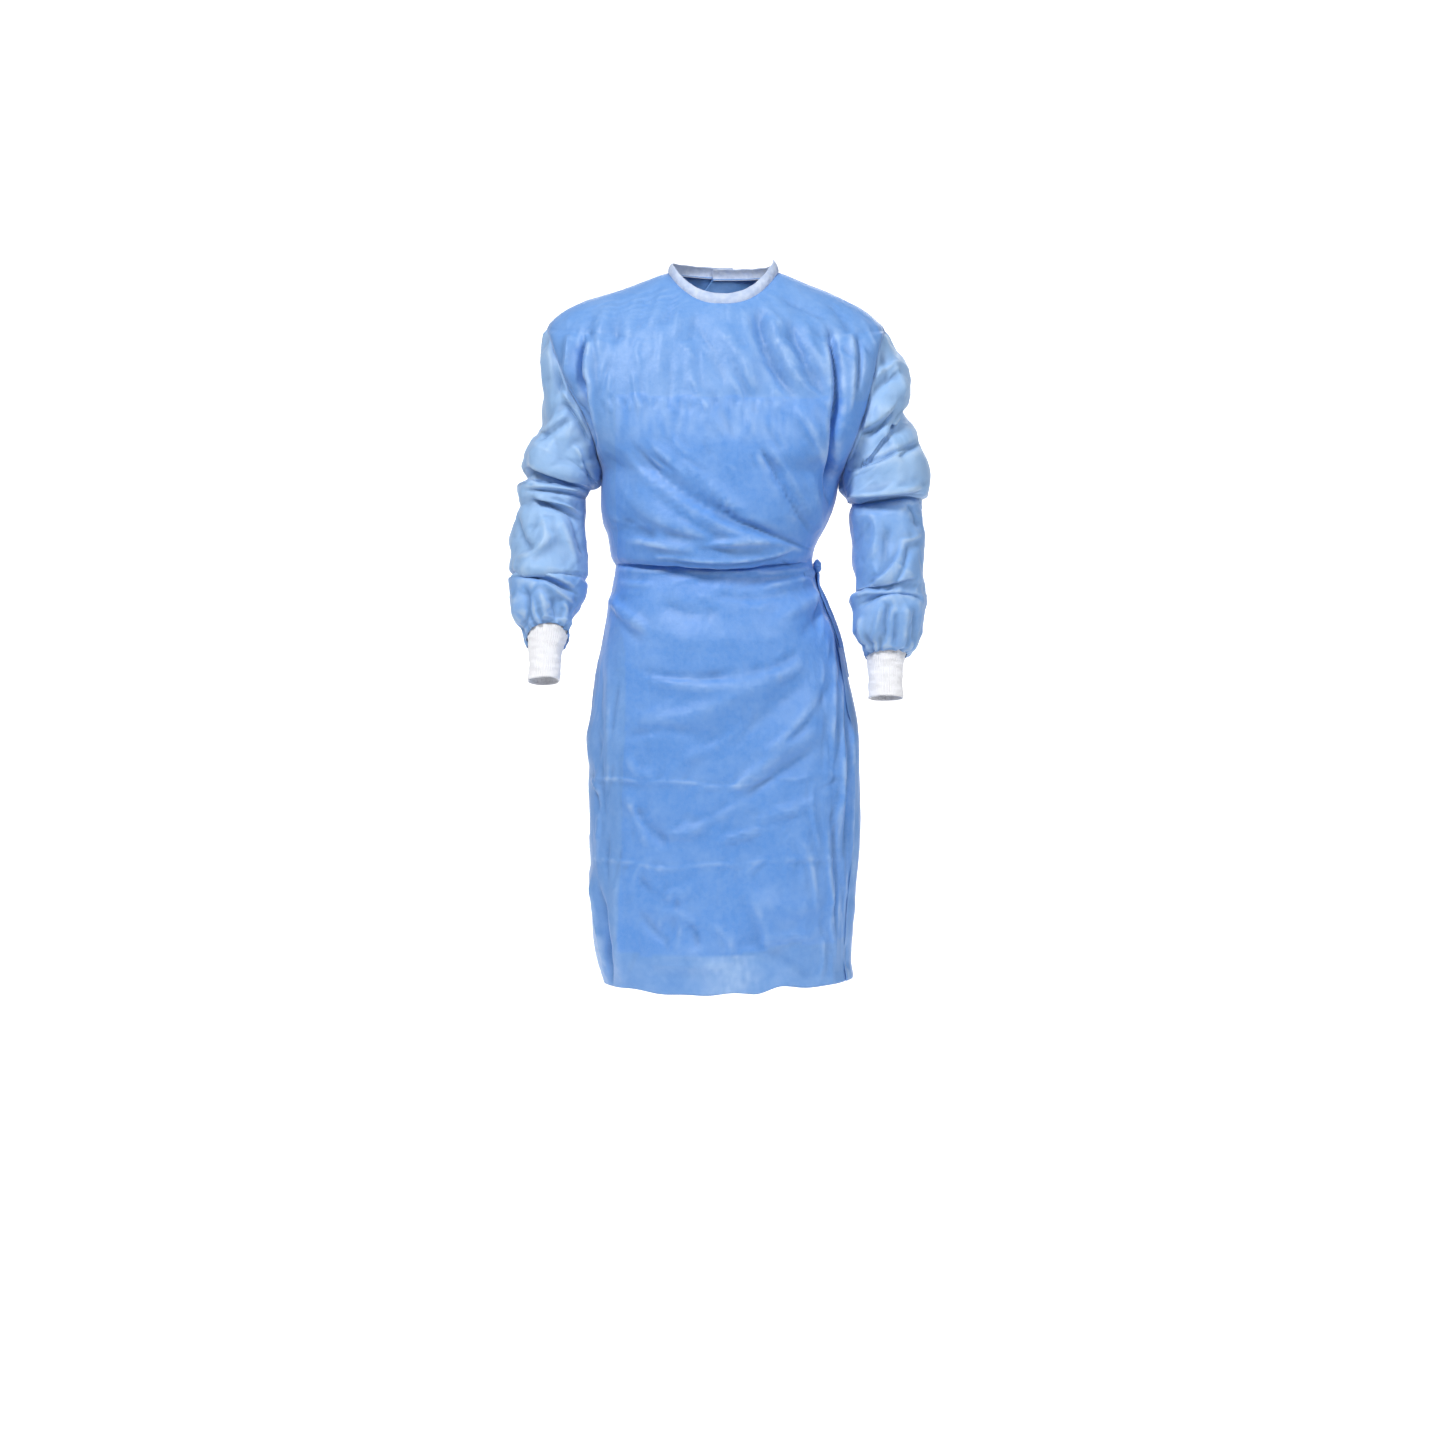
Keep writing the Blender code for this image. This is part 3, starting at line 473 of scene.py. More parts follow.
def crease_field(x, z, table):
    """Each fold adds height times exp(-(distance / reach) ** round), which fades over the first and last
    quarter of its line. The line is the parabola through the three points, cut into short straight
    pieces."""
    out, down = np.zeros_like(x), np.zeros_like(x)
    t = np.linspace(0, 1, CREASE_PIECES + 1)[:, None]
    for crease in table:
        start = np.array([crease.x0, crease.z0])
        middle = np.array([crease.x1, crease.z1])
        end = np.array([crease.x2, crease.z2])
        bend = 2 * middle - (start + end) / 2
        line = (1 - t) ** 2 * start + 2 * t * (1 - t) * bend + t**2 * end
        reach = 3 * max(crease.left, crease.right)
        low, high = line.min(axis=0) - reach, line.max(axis=0) + reach
        near = (x > low[0]) & (x < high[0]) & (z > low[1]) & (z < high[1])
        if not near.any():
            continue
        step = line[1:] - line[:-1]
        length = np.linalg.norm(step, axis=1)
        from_x = x[near][:, None] - line[:-1, 0]
        from_z = z[near][:, None] - line[:-1, 1]
        share = np.clip((from_x * step[:, 0] + from_z * step[:, 1]) / length**2, 0, 1)
        gap = np.hypot(from_x - share * step[:, 0], from_z - share * step[:, 1])
        best = gap.argmin(axis=1)
        pick = np.arange(len(best)), best
        turned = (step[:, 0] * from_z - step[:, 1] * from_x)[pick]
        along = (best + share[pick]) / CREASE_PIECES
        fade = smooth_step(along / CREASE_TAPER) * smooth_step((1 - along) / CREASE_TAPER)
        width = np.where(turned > 0, crease.left, crease.right)
        width = width * np.where(width < max(crease.left, crease.right), STEEP_SIDE, 1)
        width = np.maximum(width, NARROWEST)
        rise = fade * np.exp(-((gap[pick] / width) ** (1 + CREST * (crease.round - 1))))
        out[near] += crease.height * rise
        down[near] += crease.sag * rise
    return out, down


# %% Soft unevenness
def gradient_noise(points, seed):
    """Smooth noise of about -1 to 1. Every corner of a lattice of unit cubes holds a fixed random slope,
    and a point blends what the eight corners round it say."""
    source = np.random.default_rng(seed)
    order = source.permutation(256)
    slopes = source.normal(size=(256, 3))
    slopes /= np.linalg.norm(slopes, axis=1, keepdims=True)
    cell = np.floor(points).astype(int)
    part = points - cell
    fade = part**3 * (part * (part * 6 - 15) + 10)
    total = np.zeros(points.shape[:-1])
    for corner in np.ndindex(2, 2, 2):
        place = cell + corner
        key = order[place[..., 0] & 255]
        key = order[(key + place[..., 1]) & 255]
        key = order[(key + place[..., 2]) & 255]
        slope = ((part - corner) * slopes[key]).sum(axis=-1)
        weight = np.where(corner, fade, 1 - fade).prod(axis=-1)
        total += slope * weight
    return total * 1.6


def facets(points, size, seed):
    """Flat facets with sharp creases between them, as in crumpled paper, of about -1 to 1. Space is cut into
    tetrahedra, six in each cube of a lattice that noise has bent. Every corner holds a random height, and a
    point takes the straight-line blend of its tetrahedron's four corners."""
    source = np.random.default_rng(seed)
    order = source.permutation(256)
    heights = source.uniform(-1, 1, 256)
    bend = [gradient_noise(points / (np.array(size) * 1.7) + 9.1 * k, seed + k) for k in range(3)]
    bent = points / size + 0.32 * np.stack(bend, axis=-1)
    corner = np.floor(bent).astype(int)
    part = bent - corner
    turn = np.argsort(-part, axis=-1)
    share = np.take_along_axis(part, turn, axis=-1)
    weights = np.stack(
        [1 - share[..., 0], share[..., 0] - share[..., 1], share[..., 1] - share[..., 2], share[..., 2]]
    )
    total = np.zeros(points.shape[:-1])
    for k, weight in enumerate(weights):
        if k:
            corner = corner + np.eye(3, dtype=int)[turn[..., k - 1]]
        key = order[corner[..., 0] & 255]
        key = order[(key + corner[..., 1]) & 255]
        total += weight * heights[order[(key + corner[..., 2]) & 255]]
    return total


Patch = namedtuple("Patch", "x0 x1 z0 z1 count turn spread length height width")


def crinkles(x, z, patches, seed):
    """Short fine creases strewn over each patch. They run near the angle turn, in degrees from level, within
    the given spread, and every second one is a furrow."""
    source = np.random.default_rng(seed)
    table = []
    for patch in patches:
        for k in range(patch.count):
            middle = source.uniform((patch.x0, patch.z0), (patch.x1, patch.z1))
            turn = np.radians(patch.turn + source.uniform(-1, 1) * patch.spread)
            half = patch.length * source.uniform(0.3, 0.8) * np.array([np.cos(turn), np.sin(turn)])
            bow = source.uniform(-0.18, 0.18) * np.array([-half[1], half[0]])
            height = patch.height * source.uniform(0.4, 1.1) * (1 if k % 2 else -0.8)
            wide = patch.width * source.uniform(0.7, 1.5, 2)
            table.append(Crease(*(middle - half), *(middle + bow), *(middle + half), *wide, height, 1.25, 0))
    return crease_field(x, z, table)[0]


# %% The front's folds, in millimetres as seen from the front
FRONT_CREASES = [
    # the two deep furrows beside the armholes
    Crease(-197, -102, -205, -150, -203, -200, 4, 6, -17, 1.2),
    Crease(-199, -160, -193, -214, -180, -276, 4, 7, -18, 1.2),
    Crease(-188, -110, -192, -180, -174, -270, 8, 9, 5, 1.6),
    Crease(-216, -96, -222, -140, -218, -186, 6, 6, 4, 1.5),
    Crease(154, -84, 168, -168, 163, -262, 4, 6, -17, 1.2),
    Crease(164, -190, 161, -280, 158, -356, 4, 6, -18, 1.2),
    Crease(146, -98, 158, -190, 152, -300, 7, 8, 5, 1.6),
    Crease(184, -92, 190, -150, 182, -236, 7, 7, 5, 1.5),
    Crease(196, -96, 202, -140, 196, -196, 4, 5, -5, 1.4),
    Crease(158, -60, 176, -74, 190, -110, 6, 6, -4, 1.5),
    # long soft folds that run from the breast down to the ties
    Crease(-146, -262, -44, -358, 102, -413, 5, 16, 6, 1.4, 3),
    Crease(-136, -252, -36, -346, 108, -407, 6, 8, -5.5, 1.3),
    Crease(-112, -254, -28, -332, 60, -386, 12, 5, 4, 1.5, 2),
    Crease(-56, -296, -14, -344, 34, -379, 6, 7, -4, 1.3),
    Crease(-62, -284, -8, -336, 50, -376, 6, 5, 3.4, 1.4, 1),
    Crease(-120, -300, -50, -372, 40, -404, 10, 9, -3, 1.6),
    Crease(-150, -300, -80, -378, 92, -414, 18, 16, 5, 1.9, 4),
    Crease(50, -262, 90, -330, 132, -398, 5.5, 5, -6, 1.2),
    Crease(63, -260, 102, -328, 141, -388, 8, 6, 4, 1.5),
    Crease(96, -200, 132, -256, 148, -300, 12, 10, 5, 1.8),
    Crease(120, -300, 138, -350, 140, -400, 7, 7, 4, 1.6),
    Crease(-50, -158, -22, -214, 6, -262, 4, 5, 2.6, 1.4),
    Crease(-24, -176, 4, -226, 22, -270, 4, 5, -2, 1.4),
    Crease(8, -166, 34, -214, 44, -262, 5, 4, 2.2, 1.5),
    Crease(-5, -86, 26, -142, 56, -206, 14, 12, 4, 1.9),
    Crease(-44, -76, -18, -134, 16, -190, 14, 14, -3, 1.9),
    # from the right of the neck
    Crease(54, -62, 62, -128, 106, -208, 13, 10, -9, 1.7),
    Crease(72, -64, 84, -126, 132, -206, 12, 12, 7, 1.8),
    Crease(96, -76, 114, -138, 150, -208, 8, 8, -5, 1.6),
    Crease(116, -70, 134, -132, 160, -176, 8, 8, 4, 1.6),
    Crease(84, -44, 118, -66, 156, -78, 8, 8, -4, 1.6),
    # short gathers below the left of the neck and the shoulder
    Crease(-66, -34, -72, -66, -84, -104, 5, 6, -3.4, 1.5),
    Crease(-78, -26, -90, -62, -102, -104, 5, 5, 2.6, 1.5),
    Crease(-60, -52, -60, -82, -66, -118, 4, 5, 2.4, 1.5),
    Crease(-96, -26, -112, -66, -118, -120, 6, 6, -3, 1.6),
    Crease(-112, -28, -128, -72, -132, -130, 6, 6, 3, 1.6),
    Crease(-138, -38, -150, -82, -150, -136, 7, 7, -3.4, 1.6),
    Crease(-162, -46, -172, -94, -176, -150, 8, 8, 4, 1.7),
    Crease(-186, -54, -190, -92, -192, -128, 6, 7, -3, 1.6),
    Crease(-40, -72, -40, -96, -46, -124, 4, 4, -2, 1.5),
    # the blouse over the waist
    Crease(-30, -414, 30, -402, 112, -410, 5, 9, 4.6, 1.4, 2),
    Crease(-90, -428, 30, -432, 112, -410, 9, 4, 5, 1.4, 2),
    Crease(20, -372, 80, -400, 134, -412, 6, 4, -5, 1.3),
    Crease(-150, -398, -84, -412, -20, -420, 12, 8, 3, 1.8, 2),
    Crease(-156, -372, -120, -392, -84, -398, 16, 12, -4, 1.8),
    Crease(-96, -392, -40, -400, 20, -396, 12, 12, -4, 1.8),
    # under it, down to the hips
    Crease(-74, -443, 0, -452, 78, -442, 9, 4, 4.2, 1.5),
    Crease(-160, -440, -110, -447, -60, -445, 6, 5, 3, 1.6),
    Crease(30, -452, 90, -447, 136, -438, 4, 4, 3, 1.5),
    Crease(-152, -460, -124, -466, -92, -468, 4, 4, 2.6, 1.5),
    Crease(44, -474, 92, -464, 138, -452, 5, 5, 3, 1.5),
    Crease(-20, -478, 54, -486, 134, -466, 8, 7, -2.5, 1.7),
    Crease(-164, -474, -140, -502, -92, -541, 8, 14, 7, 1.5, 3),
    Crease(-166, -488, -142, -520, -104, -556, 8, 6, -4, 1.5),
    Crease(-92, -486, -40, -508, 10, -500, 12, 14, -3.5, 1.8),
    Crease(-104, -524, -30, -548, 40, -530, 16, 16, 3, 1.9),
    Crease(70, -520, 118, -496, 146, -470, 9, 9, 4, 1.7),
    Crease(108, -548, 138, -512, 152, -480, 8, 8, -3.5, 1.7),
    Crease(138, -462, 136, -482, 133, -506, 2.8, 3.4, 3, 1.2),
    Crease(144, -474, 141, -504, 138, -536, 2.8, 3.4, -2.6, 1.3),
    Crease(148, -480, 146, -516, 143, -556, 2.8, 3.4, 3.2, 1.2),
    Crease(154, -500, 153, -536, 150, -584, 2.8, 3.4, 2.6, 1.3),
    # the skirt
    Crease(-134, -584, -50, -602, 40, -588, 5, 4, -4, 1.4),
    Crease(28, -592, 74, -585, 122, -556, 6, 5, -4, 1.5),
    Crease(-124, -592, -30, -613, 60, -604, 10, 12, 4.5, 1.8),
    Crease(66, -602, 98, -594, 122, -574, 5, 5, 3, 1.6),
    Crease(-142, -654, -30, -650, 132, -560, 22, 26, 6, 1.9),
    Crease(-60, -700, 40, -668, 146, -580, 22, 20, -5, 1.9),
    Crease(52, -716, 104, -672, 162, -600, 12, 15, 6, 1.8),
    Crease(84, -700, 126, -656, 168, -588, 10, 10, -5, 1.7),
    Crease(-136, -704, -116, -736, -88, -728, 8, 12, 3.5, 1.7),
    Crease(10, -762, 60, -726, 150, -664, 9, 10, 4, 1.6),
    Crease(24, -776, 76, -740, 152, -690, 8, 10, -4, 1.6),
    Crease(-70, -820, -20, -806, 44, -770, 5, 6, 3, 1.4),
    Crease(0, -832, 34, -824, 70, -812, 4, 5, 2.4, 1.4),
    Crease(64, -790, 104, -784, 140, -774, 5, 6, 2.8, 1.5),
    Crease(-108, -888, -68, -905, -24, -888, 5, 6, 2.6, 1.5),
    Crease(-70, -926, -52, -940, -34, -950, 5, 5, 2.2, 1.6),
    Crease(40, -900, 90, -930, 150, -920, 16, 16, 4, 1.9),
    Crease(-100, -960, -30, -1000, 60, -1040, 22, 24, 4, 1.9),
    Crease(20, -960, 90, -1000, 150, -1044, 22, 22, -5, 1.9),
    Crease(-172, -900, -166, -980, -158, -1060, 7, 9, -8, 1.6),
    Crease(-154, -860, -148, -960, -142, -1060, 12, 12, 5, 1.8),
    Crease(-172, -560, -176, -690, -170, -840, 9, 9, -4, 1.8),
    Crease(-160, -540, -162, -660, -158, -800, 8, 8, 3, 1.8),
    Crease(-180, -700, -174, -790, -180, -880, 4, 5, 4, 1.3),
    Crease(-188, -760, -178, -778, -172, -812, 4, 4, -4, 1.3),
    Crease(-190, -742, -180, -756, -172, -766, 3, 4, 4, 1.3),
    Crease(-188, -872, -180, -950, -162, -1040, 4, 5, 6, 1.3),
    Crease(-178, -880, -170, -950, -154, -1030, 3, 4, -4, 1.3),
    Crease(152, -500, 162, -600, 156, -760, 4, 5, 4, 1.3),
    Crease(160, -520, 172, -610, 168, -720, 4, 5, -3.4, 1.4),
    Crease(168, -560, 174, -700, 166, -860, 4, 4, 5, 1.25),
    Crease(176, -600, 184, -740, 176, -880, 3, 4, -5, 1.25),
    Crease(182, -640, 190, -760, 184, -900, 3, 3, 4, 1.3),
    Crease(158, -760, 166, -880, 162, -1010, 4, 5, -5, 1.3),
    Crease(150, -800, 158, -900, 170, -1040, 5, 6, 4, 1.4),
    Crease(140, -600, 148, -660, 142, -760, 6, 6, -2, 1.5),
    # creases left by packing
    Crease(-197, -748, -150, -745, -104, -752, 3.4, 1.6, 1.7, 1.1),
    Crease(-118, -751, -60, -749, -14, -755, 3.0, 1.6, 1.3, 1.1),
    Crease(-34, -753, 10, -757, 52, -749, 3.2, 1.6, 1.7, 1.1),
    Crease(34, -751, 62, -741, 84, -742, 3.0, 1.6, 0.8, 1.1),
    Crease(76, -742, 108, -745, 132, -739, 3.0, 1.6, 1.4, 1.1),
    Crease(118, -740, 150, -738, 190, -745, 2.6, 1.6, 1.5, 1.1),
    Crease(-197, -857, -156, -863, -112, -864, 3.2, 1.6, 1.5, 1.1),
    Crease(-126, -865, -80, -873, -36, -869, 3.4, 1.6, 1.3, 1.1),
    Crease(-52, -871, -6, -866, 34, -870, 2.8, 1.6, 1.5, 1.1),
    Crease(22, -868, 60, -861, 88, -867, 2.8, 1.6, 0.9, 1.1),
    Crease(78, -866, 124, -858, 190, -865, 2.8, 1.6, 1.5, 1.1),
    Crease(-150, -624, -149, -800, -147, -980, 2.5, 2.5, 1.0, 1.2),
    Crease(14, -610, 12, -740, 14, -850, 3, 3, 0.7, 1.2),
    Crease(94, -800, 92, -880, 95, -960, 3, 2, 0.7, 1.2),
    Crease(12, -870, 13, -940, 10, -1036, 3, 3, 0.8, 1.2),
    # short kinks and soft dents low in the skirt
    Crease(-124, -880, -98, -904, -62, -900, 5, 3, -4.1, 1.3),
    Crease(-104, -892, -74, -914, -40, -908, 5, 4, 3.6, 1.4),
    Crease(-96, -812, -52, -826, -18, -806, 6, 4, 3.6, 1.4),
    Crease(-14, -838, 26, -828, 60, -818, 5, 3, 3.2, 1.3),
    Crease(46, -806, 84, -797, 122, -790, 5, 3, 3.5, 1.3),
    Crease(-146, -760, -120, -800, -106, -850, 14, 10, 4.5, 1.7),
    Crease(-128, -770, -104, -816, -66, -832, 14, 12, -5.4, 1.7),
    Crease(28, -900, 60, -950, 66, -1010, 16, 12, 4.5, 1.7),
    Crease(-70, -930, -60, -952, -62, -976, 5, 4, 3.6, 1.3),
    Crease(-52, -946, -36, -964, -34, -990, 4, 4, -2.8, 1.4),
    Crease(-20, -952, 10, -974, 16, -1000, 7, 5, 3.6, 1.5),
    Crease(-118, -930, -96, -962, -60, -986, 12, 9, -4.1, 1.7),
    Crease(40, -984, 90, -972, 150, -976, 6, 3, 3.6, 1.4),
    Crease(-130, -1006, -40, -1012, 30, -1003, 8, 6, 2.8, 1.6),
    Crease(104, -820, 130, -880, 136, -950, 12, 8, 4.1, 1.7),
    Crease(-60, -720, -10, -700, 60, -650, 14, 8, 3.6, 1.6),
    Crease(-150, -690, -90, -676, -20, -684, 12, 8, -3.6, 1.7),
    Crease(-14, -985, 40, -990, 104, -974, 3, 5, 3, 1.3),
    Crease(-116, -994, -70, -997, -22, -991, 3, 4, 2, 1.3),
    Crease(-70, -905, -62, -930, -66, -958, 4, 4, -3, 1.3),
    Crease(-66, -930, -50, -946, -24, -952, 4, 4, 2.6, 1.3),
    Crease(-70, -932, -84, -944, -92, -962, 4, 4, 2.4, 1.3),
]
print(len(FRONT_CREASES), "folds in front")


# %% Little gathers along the top of the front's second layer
def gathers(x, z, first, last, height, length, seed):
    """Short upright puckers of uneven place, width and length, along a level line from first to last."""
    source = np.random.default_rng(seed)
    count = int((last - first) / 7.5)
    at = np.linspace(first, last, count) + source.uniform(-3, 3, count)
    table = []
    for place, lean, share in zip(at, source.uniform(-4, 6, count), source.uniform(0.4, 1, count)):
        top = height + 4 - 5 * share
        table.append(
            Crease(place, top, place + lean / 2, top - length * share / 2, place + lean,
                   top - length * share, 1.9, 2.2, (2.2 if len(table) % 2 else -1.6) * share, 1.6, 0)
        )
    return crease_field(x, z, table)[0]


# %% The back's folds, in millimetres as seen from behind with the same x
BACK_CREASES = [
    Crease(-205, -96, -208, -165, -190, -240, 12, 9, -13, 1.5),
    Crease(-190, -120, -190, -180, -172, -256, 10, 10, 6, 1.8),
    Crease(190, -96, 196, -165, 184, -262, 9, 12, -13, 1.5),
    Crease(172, -120, 178, -186, 166, -270, 10, 10, 6, 1.8),
    Crease(-60, -20, -82, -110, -88, -230, 14, 14, 5, 1.8),
    Crease(-40, -30, -48, -120, -40, -230, 12, 12, -5, 1.8),
    Crease(64, -20, 90, -120, 108, -230, 12, 12, -5, 1.8),
    Crease(84, -30, 116, -110, 132, -210, 10, 12, 5, 1.7),
    Crease(-150, -190, -50, -290, 96, -388, 15, 18, 8, 1.8, 5),
    Crease(-130, -250, -30, -330, 100, -402, 10, 12, -6, 1.7),
    Crease(-140, -300, -50, -366, 104, -414, 12, 9, 7, 1.6, 4),
    Crease(-150, -360, -60, -396, 80, -420, 14, 10, 6, 1.7, 4),
    Crease(130, -250, 124, -330, 118, -400, 10, 10, 6, 1.7),
    Crease(100, -250, 104, -330, 108, -396, 8, 8, -4, 1.7),
    Crease(-150, -448, -40, -462, 90, -440, 5, 5, 3.5, 1.5),
    Crease(-110, -486, 0, -480, 110, -450, 9, 8, 5, 1.6),
    Crease(-140, -556, -20, -520, 118, -466, 16, 18, 7, 1.8),
    Crease(-130, -600, 0, -560, 128, -490, 14, 14, -6, 1.8),
    Crease(-100, -680, 30, -610, 140, -520, 18, 22, 6, 1.8),
    Crease(-60, -740, 50, -670, 150, -580, 16, 16, -5, 1.8),
    Crease(-128, -660, -132, -860, -124, -1070, 24, 26, 9, 1.9),
    Crease(-96, -700, -98, -880, -92, -1070, 14, 16, -6, 1.8),
    Crease(-52, -690, -56, -870, -50, -1070, 22, 20, -7, 1.9),
    Crease(18, -650, 22, -870, 20, -1070, 26, 24, 9, 1.9),
    Crease(92, -680, 98, -880, 94, -1070, 22, 22, -8, 1.9),
    Crease(140, -620, 150, -860, 146, -1070, 16, 18, 6, 1.9),
    Crease(-190, -752, -120, -748, -40, -750, 2.8, 2.0, 1.6, 1.1),
    Crease(-60, -749, 40, -745, 150, -751, 2.8, 2.0, 1.7, 1.1),
    Crease(-190, -866, -90, -870, 10, -864, 2.8, 2.0, 1.7, 1.1),
    Crease(-10, -865, 80, -860, 180, -863, 2.8, 2.0, 1.5, 1.1),
    Crease(-30, -120, -28, -280, -30, -400, 3, 3, 0.9, 1.2),
    Crease(-30, -500, -28, -780, -30, -1060, 3, 3, 1.0, 1.2),
]
print(len(BACK_CREASES), "folds behind")

# Fine creases: steep on the breast and the shoulders, slanting to the tie below it, and every way in the
# skirt.
FINE_PATCHES = [
    Patch(-230, -60, -200, -60, 34, 86, 14, 60, 1.9, 2.9),
    Patch(-60, 60, -210, -80, 20, -70, 16, 60, 1.7, 3.0),
    Patch(60, 225, -210, -60, 34, -62, 24, 54, 1.9, 2.9),
    Patch(-60, 140, -330, -190, 22, -62, 18, 44, 1.4, 2.6),
    Patch(-170, 0, -400, -215, 22, -44, 18, 50, 1.4, 2.8),
    Patch(-150, 140, -436, -360, 20, -14, 20, 48, 1.4, 2.6),
    Patch(-150, 140, -540, -445, 24, 6, 24, 40, 1.2, 2.4),
    Patch(-180, 170, -780, -540, 46, 24, 30, 50, 0.9, 2.4),
    Patch(-150, 150, -980, -760, 40, 16, 34, 38, 1.3, 2.8),
    Patch(-150, 150, -1010, -760, 36, 82, 30, 36, 1.1, 2.8),
    Patch(-196, -150, -1030, -600, 18, 88, 12, 60, 2.7, 2.6),
    Patch(140, 196, -1030, -520, 24, 88, 10, 70, 2.8, 2.6),
]
SLEEVE_PATCHES = [
    Patch(-310, -180, -250, -110, 12, 62, 40, 34, 1.4, 2.8),
    Patch(-310, -190, -360, -250, 10, -8, 34, 34, 1.4, 2.6),
    Patch(-310, -190, -450, -360, 10, 50, 60, 34, 1.4, 2.8),
    Patch(-310, -200, -545, -450, 14, 80, 30, 30, 1.5, 2.6),
    Patch(180, 310, -240, -110, 12, -62, 40, 34, 1.4, 2.8),
    Patch(180, 310, -345, -240, 7, 14, 34, 34, 1.0, 2.6),
    Patch(185, 300, -470, -345, 12, -60, 60, 36, 1.4, 2.8),
    Patch(185, 300, -570, -470, 14, 84, 30, 32, 1.5, 2.6),
]
print(sum(patch.count for patch in FINE_PATCHES + SLEEVE_PATCHES), "fine creases")

# %% [markdown]
# ## The sleeves' folds
# The rings already hold the large bellows. These lines add the creases that cross them: the tucks where the
# elbow bends, the lower edges of the folds that hang over, and the pleats that run into the gathered end.

# %% The sleeves' folds, in millimetres as seen from the front
RIGHT_SLEEVE_CREASES = [
    Crease(-236, -176, -212, -208, -186, -248, 9, 6, 8, 1.4, 4),
    Crease(-226, -196, -206, -228, -188, -262, 7, 6, -6, 1.4),
    Crease(-270, -250, -240, -229, -214, -206, 6, 9, 6, 1.4, 3),
    Crease(-268, -262, -240, -240, -216, -222, 5, 6, -5, 1.4),
    Crease(-250, -108, -246, -150, -250, -196, 7, 7, 4, 1.7),
    Crease(-236, -120, -232, -160, -236, -200, 6, 6, -4, 1.6),
    Crease(-288, -286, -244, -301, -190, -319, 20, 4, 6, 2.4, 3),
    Crease(-290, -294, -246, -309, -192, -326, 3.5, 4, -6, 1.3),
    Crease(-272, -314, -256, -316, -238, -315, 3, 3, -4, 1.4),
    Crease(-290, -327, -236, -331, -192, -338, 5, 3, -6, 1.3),
    Crease(-286, -322, -236, -324, -194, -330, 4, 4, 5, 1.4, 2),
    Crease(-276, -335, -241, -344, -200, -364, 5, 4, 6, 1.4, 2),
    Crease(-276, -341, -241, -351, -200, -372, 3.5, 4, -6, 1.3),
    Crease(-206, -280, -196, -296, -192, -314, 4, 4, -6, 1.4),
    Crease(-214, -262, -204, -282, -198, -300, 5, 4, 5, 1.4),
    Crease(-296, -352, -290, -392, -262, -418, 8, 10, -6, 1.5),
    Crease(-264, -360, -252, -396, -270, -424, 8, 8, 6, 1.5),
    Crease(-304, -424, -262, -420, -242, -386, 6, 5, 4, 1.3),
    Crease(-238, -360, -222, -400, -204, -452, 9, 9, 5, 1.6),
    Crease(-222, -356, -208, -392, -198, -430, 6, 6, -4, 1.5),
    Crease(-304, -446, -254, -449, -200, -474, 24, 4, 5, 3, 4),
    Crease(-304, -455, -254, -457, -198, -484, 3.5, 4, -9, 1.3),
    Crease(-262, -452, -238, -474, -204, -498, 7, 6, 5, 1.5),
    Crease(-284, -462, -276, -494, -284, -532, 7, 7, -5, 1.5),
    Crease(-262, -470, -252, -504, -258, -540, 6, 6, 5, 1.5),
    Crease(-244, -480, -236, -510, -240, -542, 5, 5, -5, 1.4),
    Crease(-298, -478, -292, -504, -288, -530, 6, 6, 4, 1.5),
    Crease(-228, -486, -222, -508, -226, -536, 5, 5, 4, 1.5),
]
LEFT_SLEEVE_CREASES = [
    Crease(206, -176, 236, -154, 268, -132, 8, 7, 6, 1.4),
    Crease(210, -190, 240, -168, 268, -150, 6, 7, -5, 1.5),
    Crease(222, -108, 236, -140, 240, -178, 7, 7, -4, 1.6),
    Crease(250, -140, 262, -166, 266, -196, 6, 6, 4, 1.5),
    Crease(196, -240, 224, -228, 258, -196, 22, 4, 6, 2.4, 3),
    Crease(198, -248, 228, -236, 262, -204, 4, 5, -9, 1.3),
    Crease(226, -236, 250, -262, 254, -286, 7, 7, 4, 1.5),
    Crease(252, -284, 268, -272, 292, -256, 4, 5, -10, 1.3),
    Crease(184, -300, 226, -293, 298, -254, 3, 32, 5.5, 4),
    Crease(186, -294, 226, -287, 298, -248, 3, 3, -4, 1.4),
    Crease(190, -290, 222, -284, 254, -272, 4, 4, -4, 1.4),
    Crease(178, -336, 234, -333, 300, -322, 9, 4, 8, 1.3, 3),
    Crease(184, -346, 234, -343, 298, -334, 4, 6, -8, 1.3),
    Crease(264, -346, 280, -362, 284, -388, 8, 8, -6, 1.5),
    Crease(212, -356, 224, -392, 214, -440, 8, 8, 4, 1.6),
    Crease(244, -372, 236, -410, 232, -448, 9, 9, -4, 1.7),
    Crease(262, -396, 246, -440, 204, -474, 9, 6, 7, 1.4, 2),
    Crease(270, -400, 258, -448, 226, -478, 5, 6, -5, 1.4),
    Crease(250, -402, 274, -400, 290, -388, 5, 5, 3, 1.4),
    Crease(188, -486, 230, -466, 286, -452, 20, 4, 5, 2.4, 3),
    Crease(190, -501, 228, -480, 262, -477, 4, 4, -8, 1.3),
    Crease(250, -477, 274, -478, 294, -490, 4, 4, -6, 1.3),
    Crease(230, -490, 224, -520, 218, -552, 6, 5, 5, 1.4),
    Crease(240, -488, 236, -522, 234, -556, 4, 5, -5, 1.4),
    Crease(262, -490, 264, -522, 258, -562, 5, 5, 5, 1.4),
    Crease(250, -500, 250, -532, 246, -562, 4, 4, -4, 1.4),
    Crease(278, -496, 278, -526, 272, -556, 6, 5, -4, 1.5),
    Crease(204, -508, 202, -530, 210, -552, 5, 5, 4, 1.5),
]


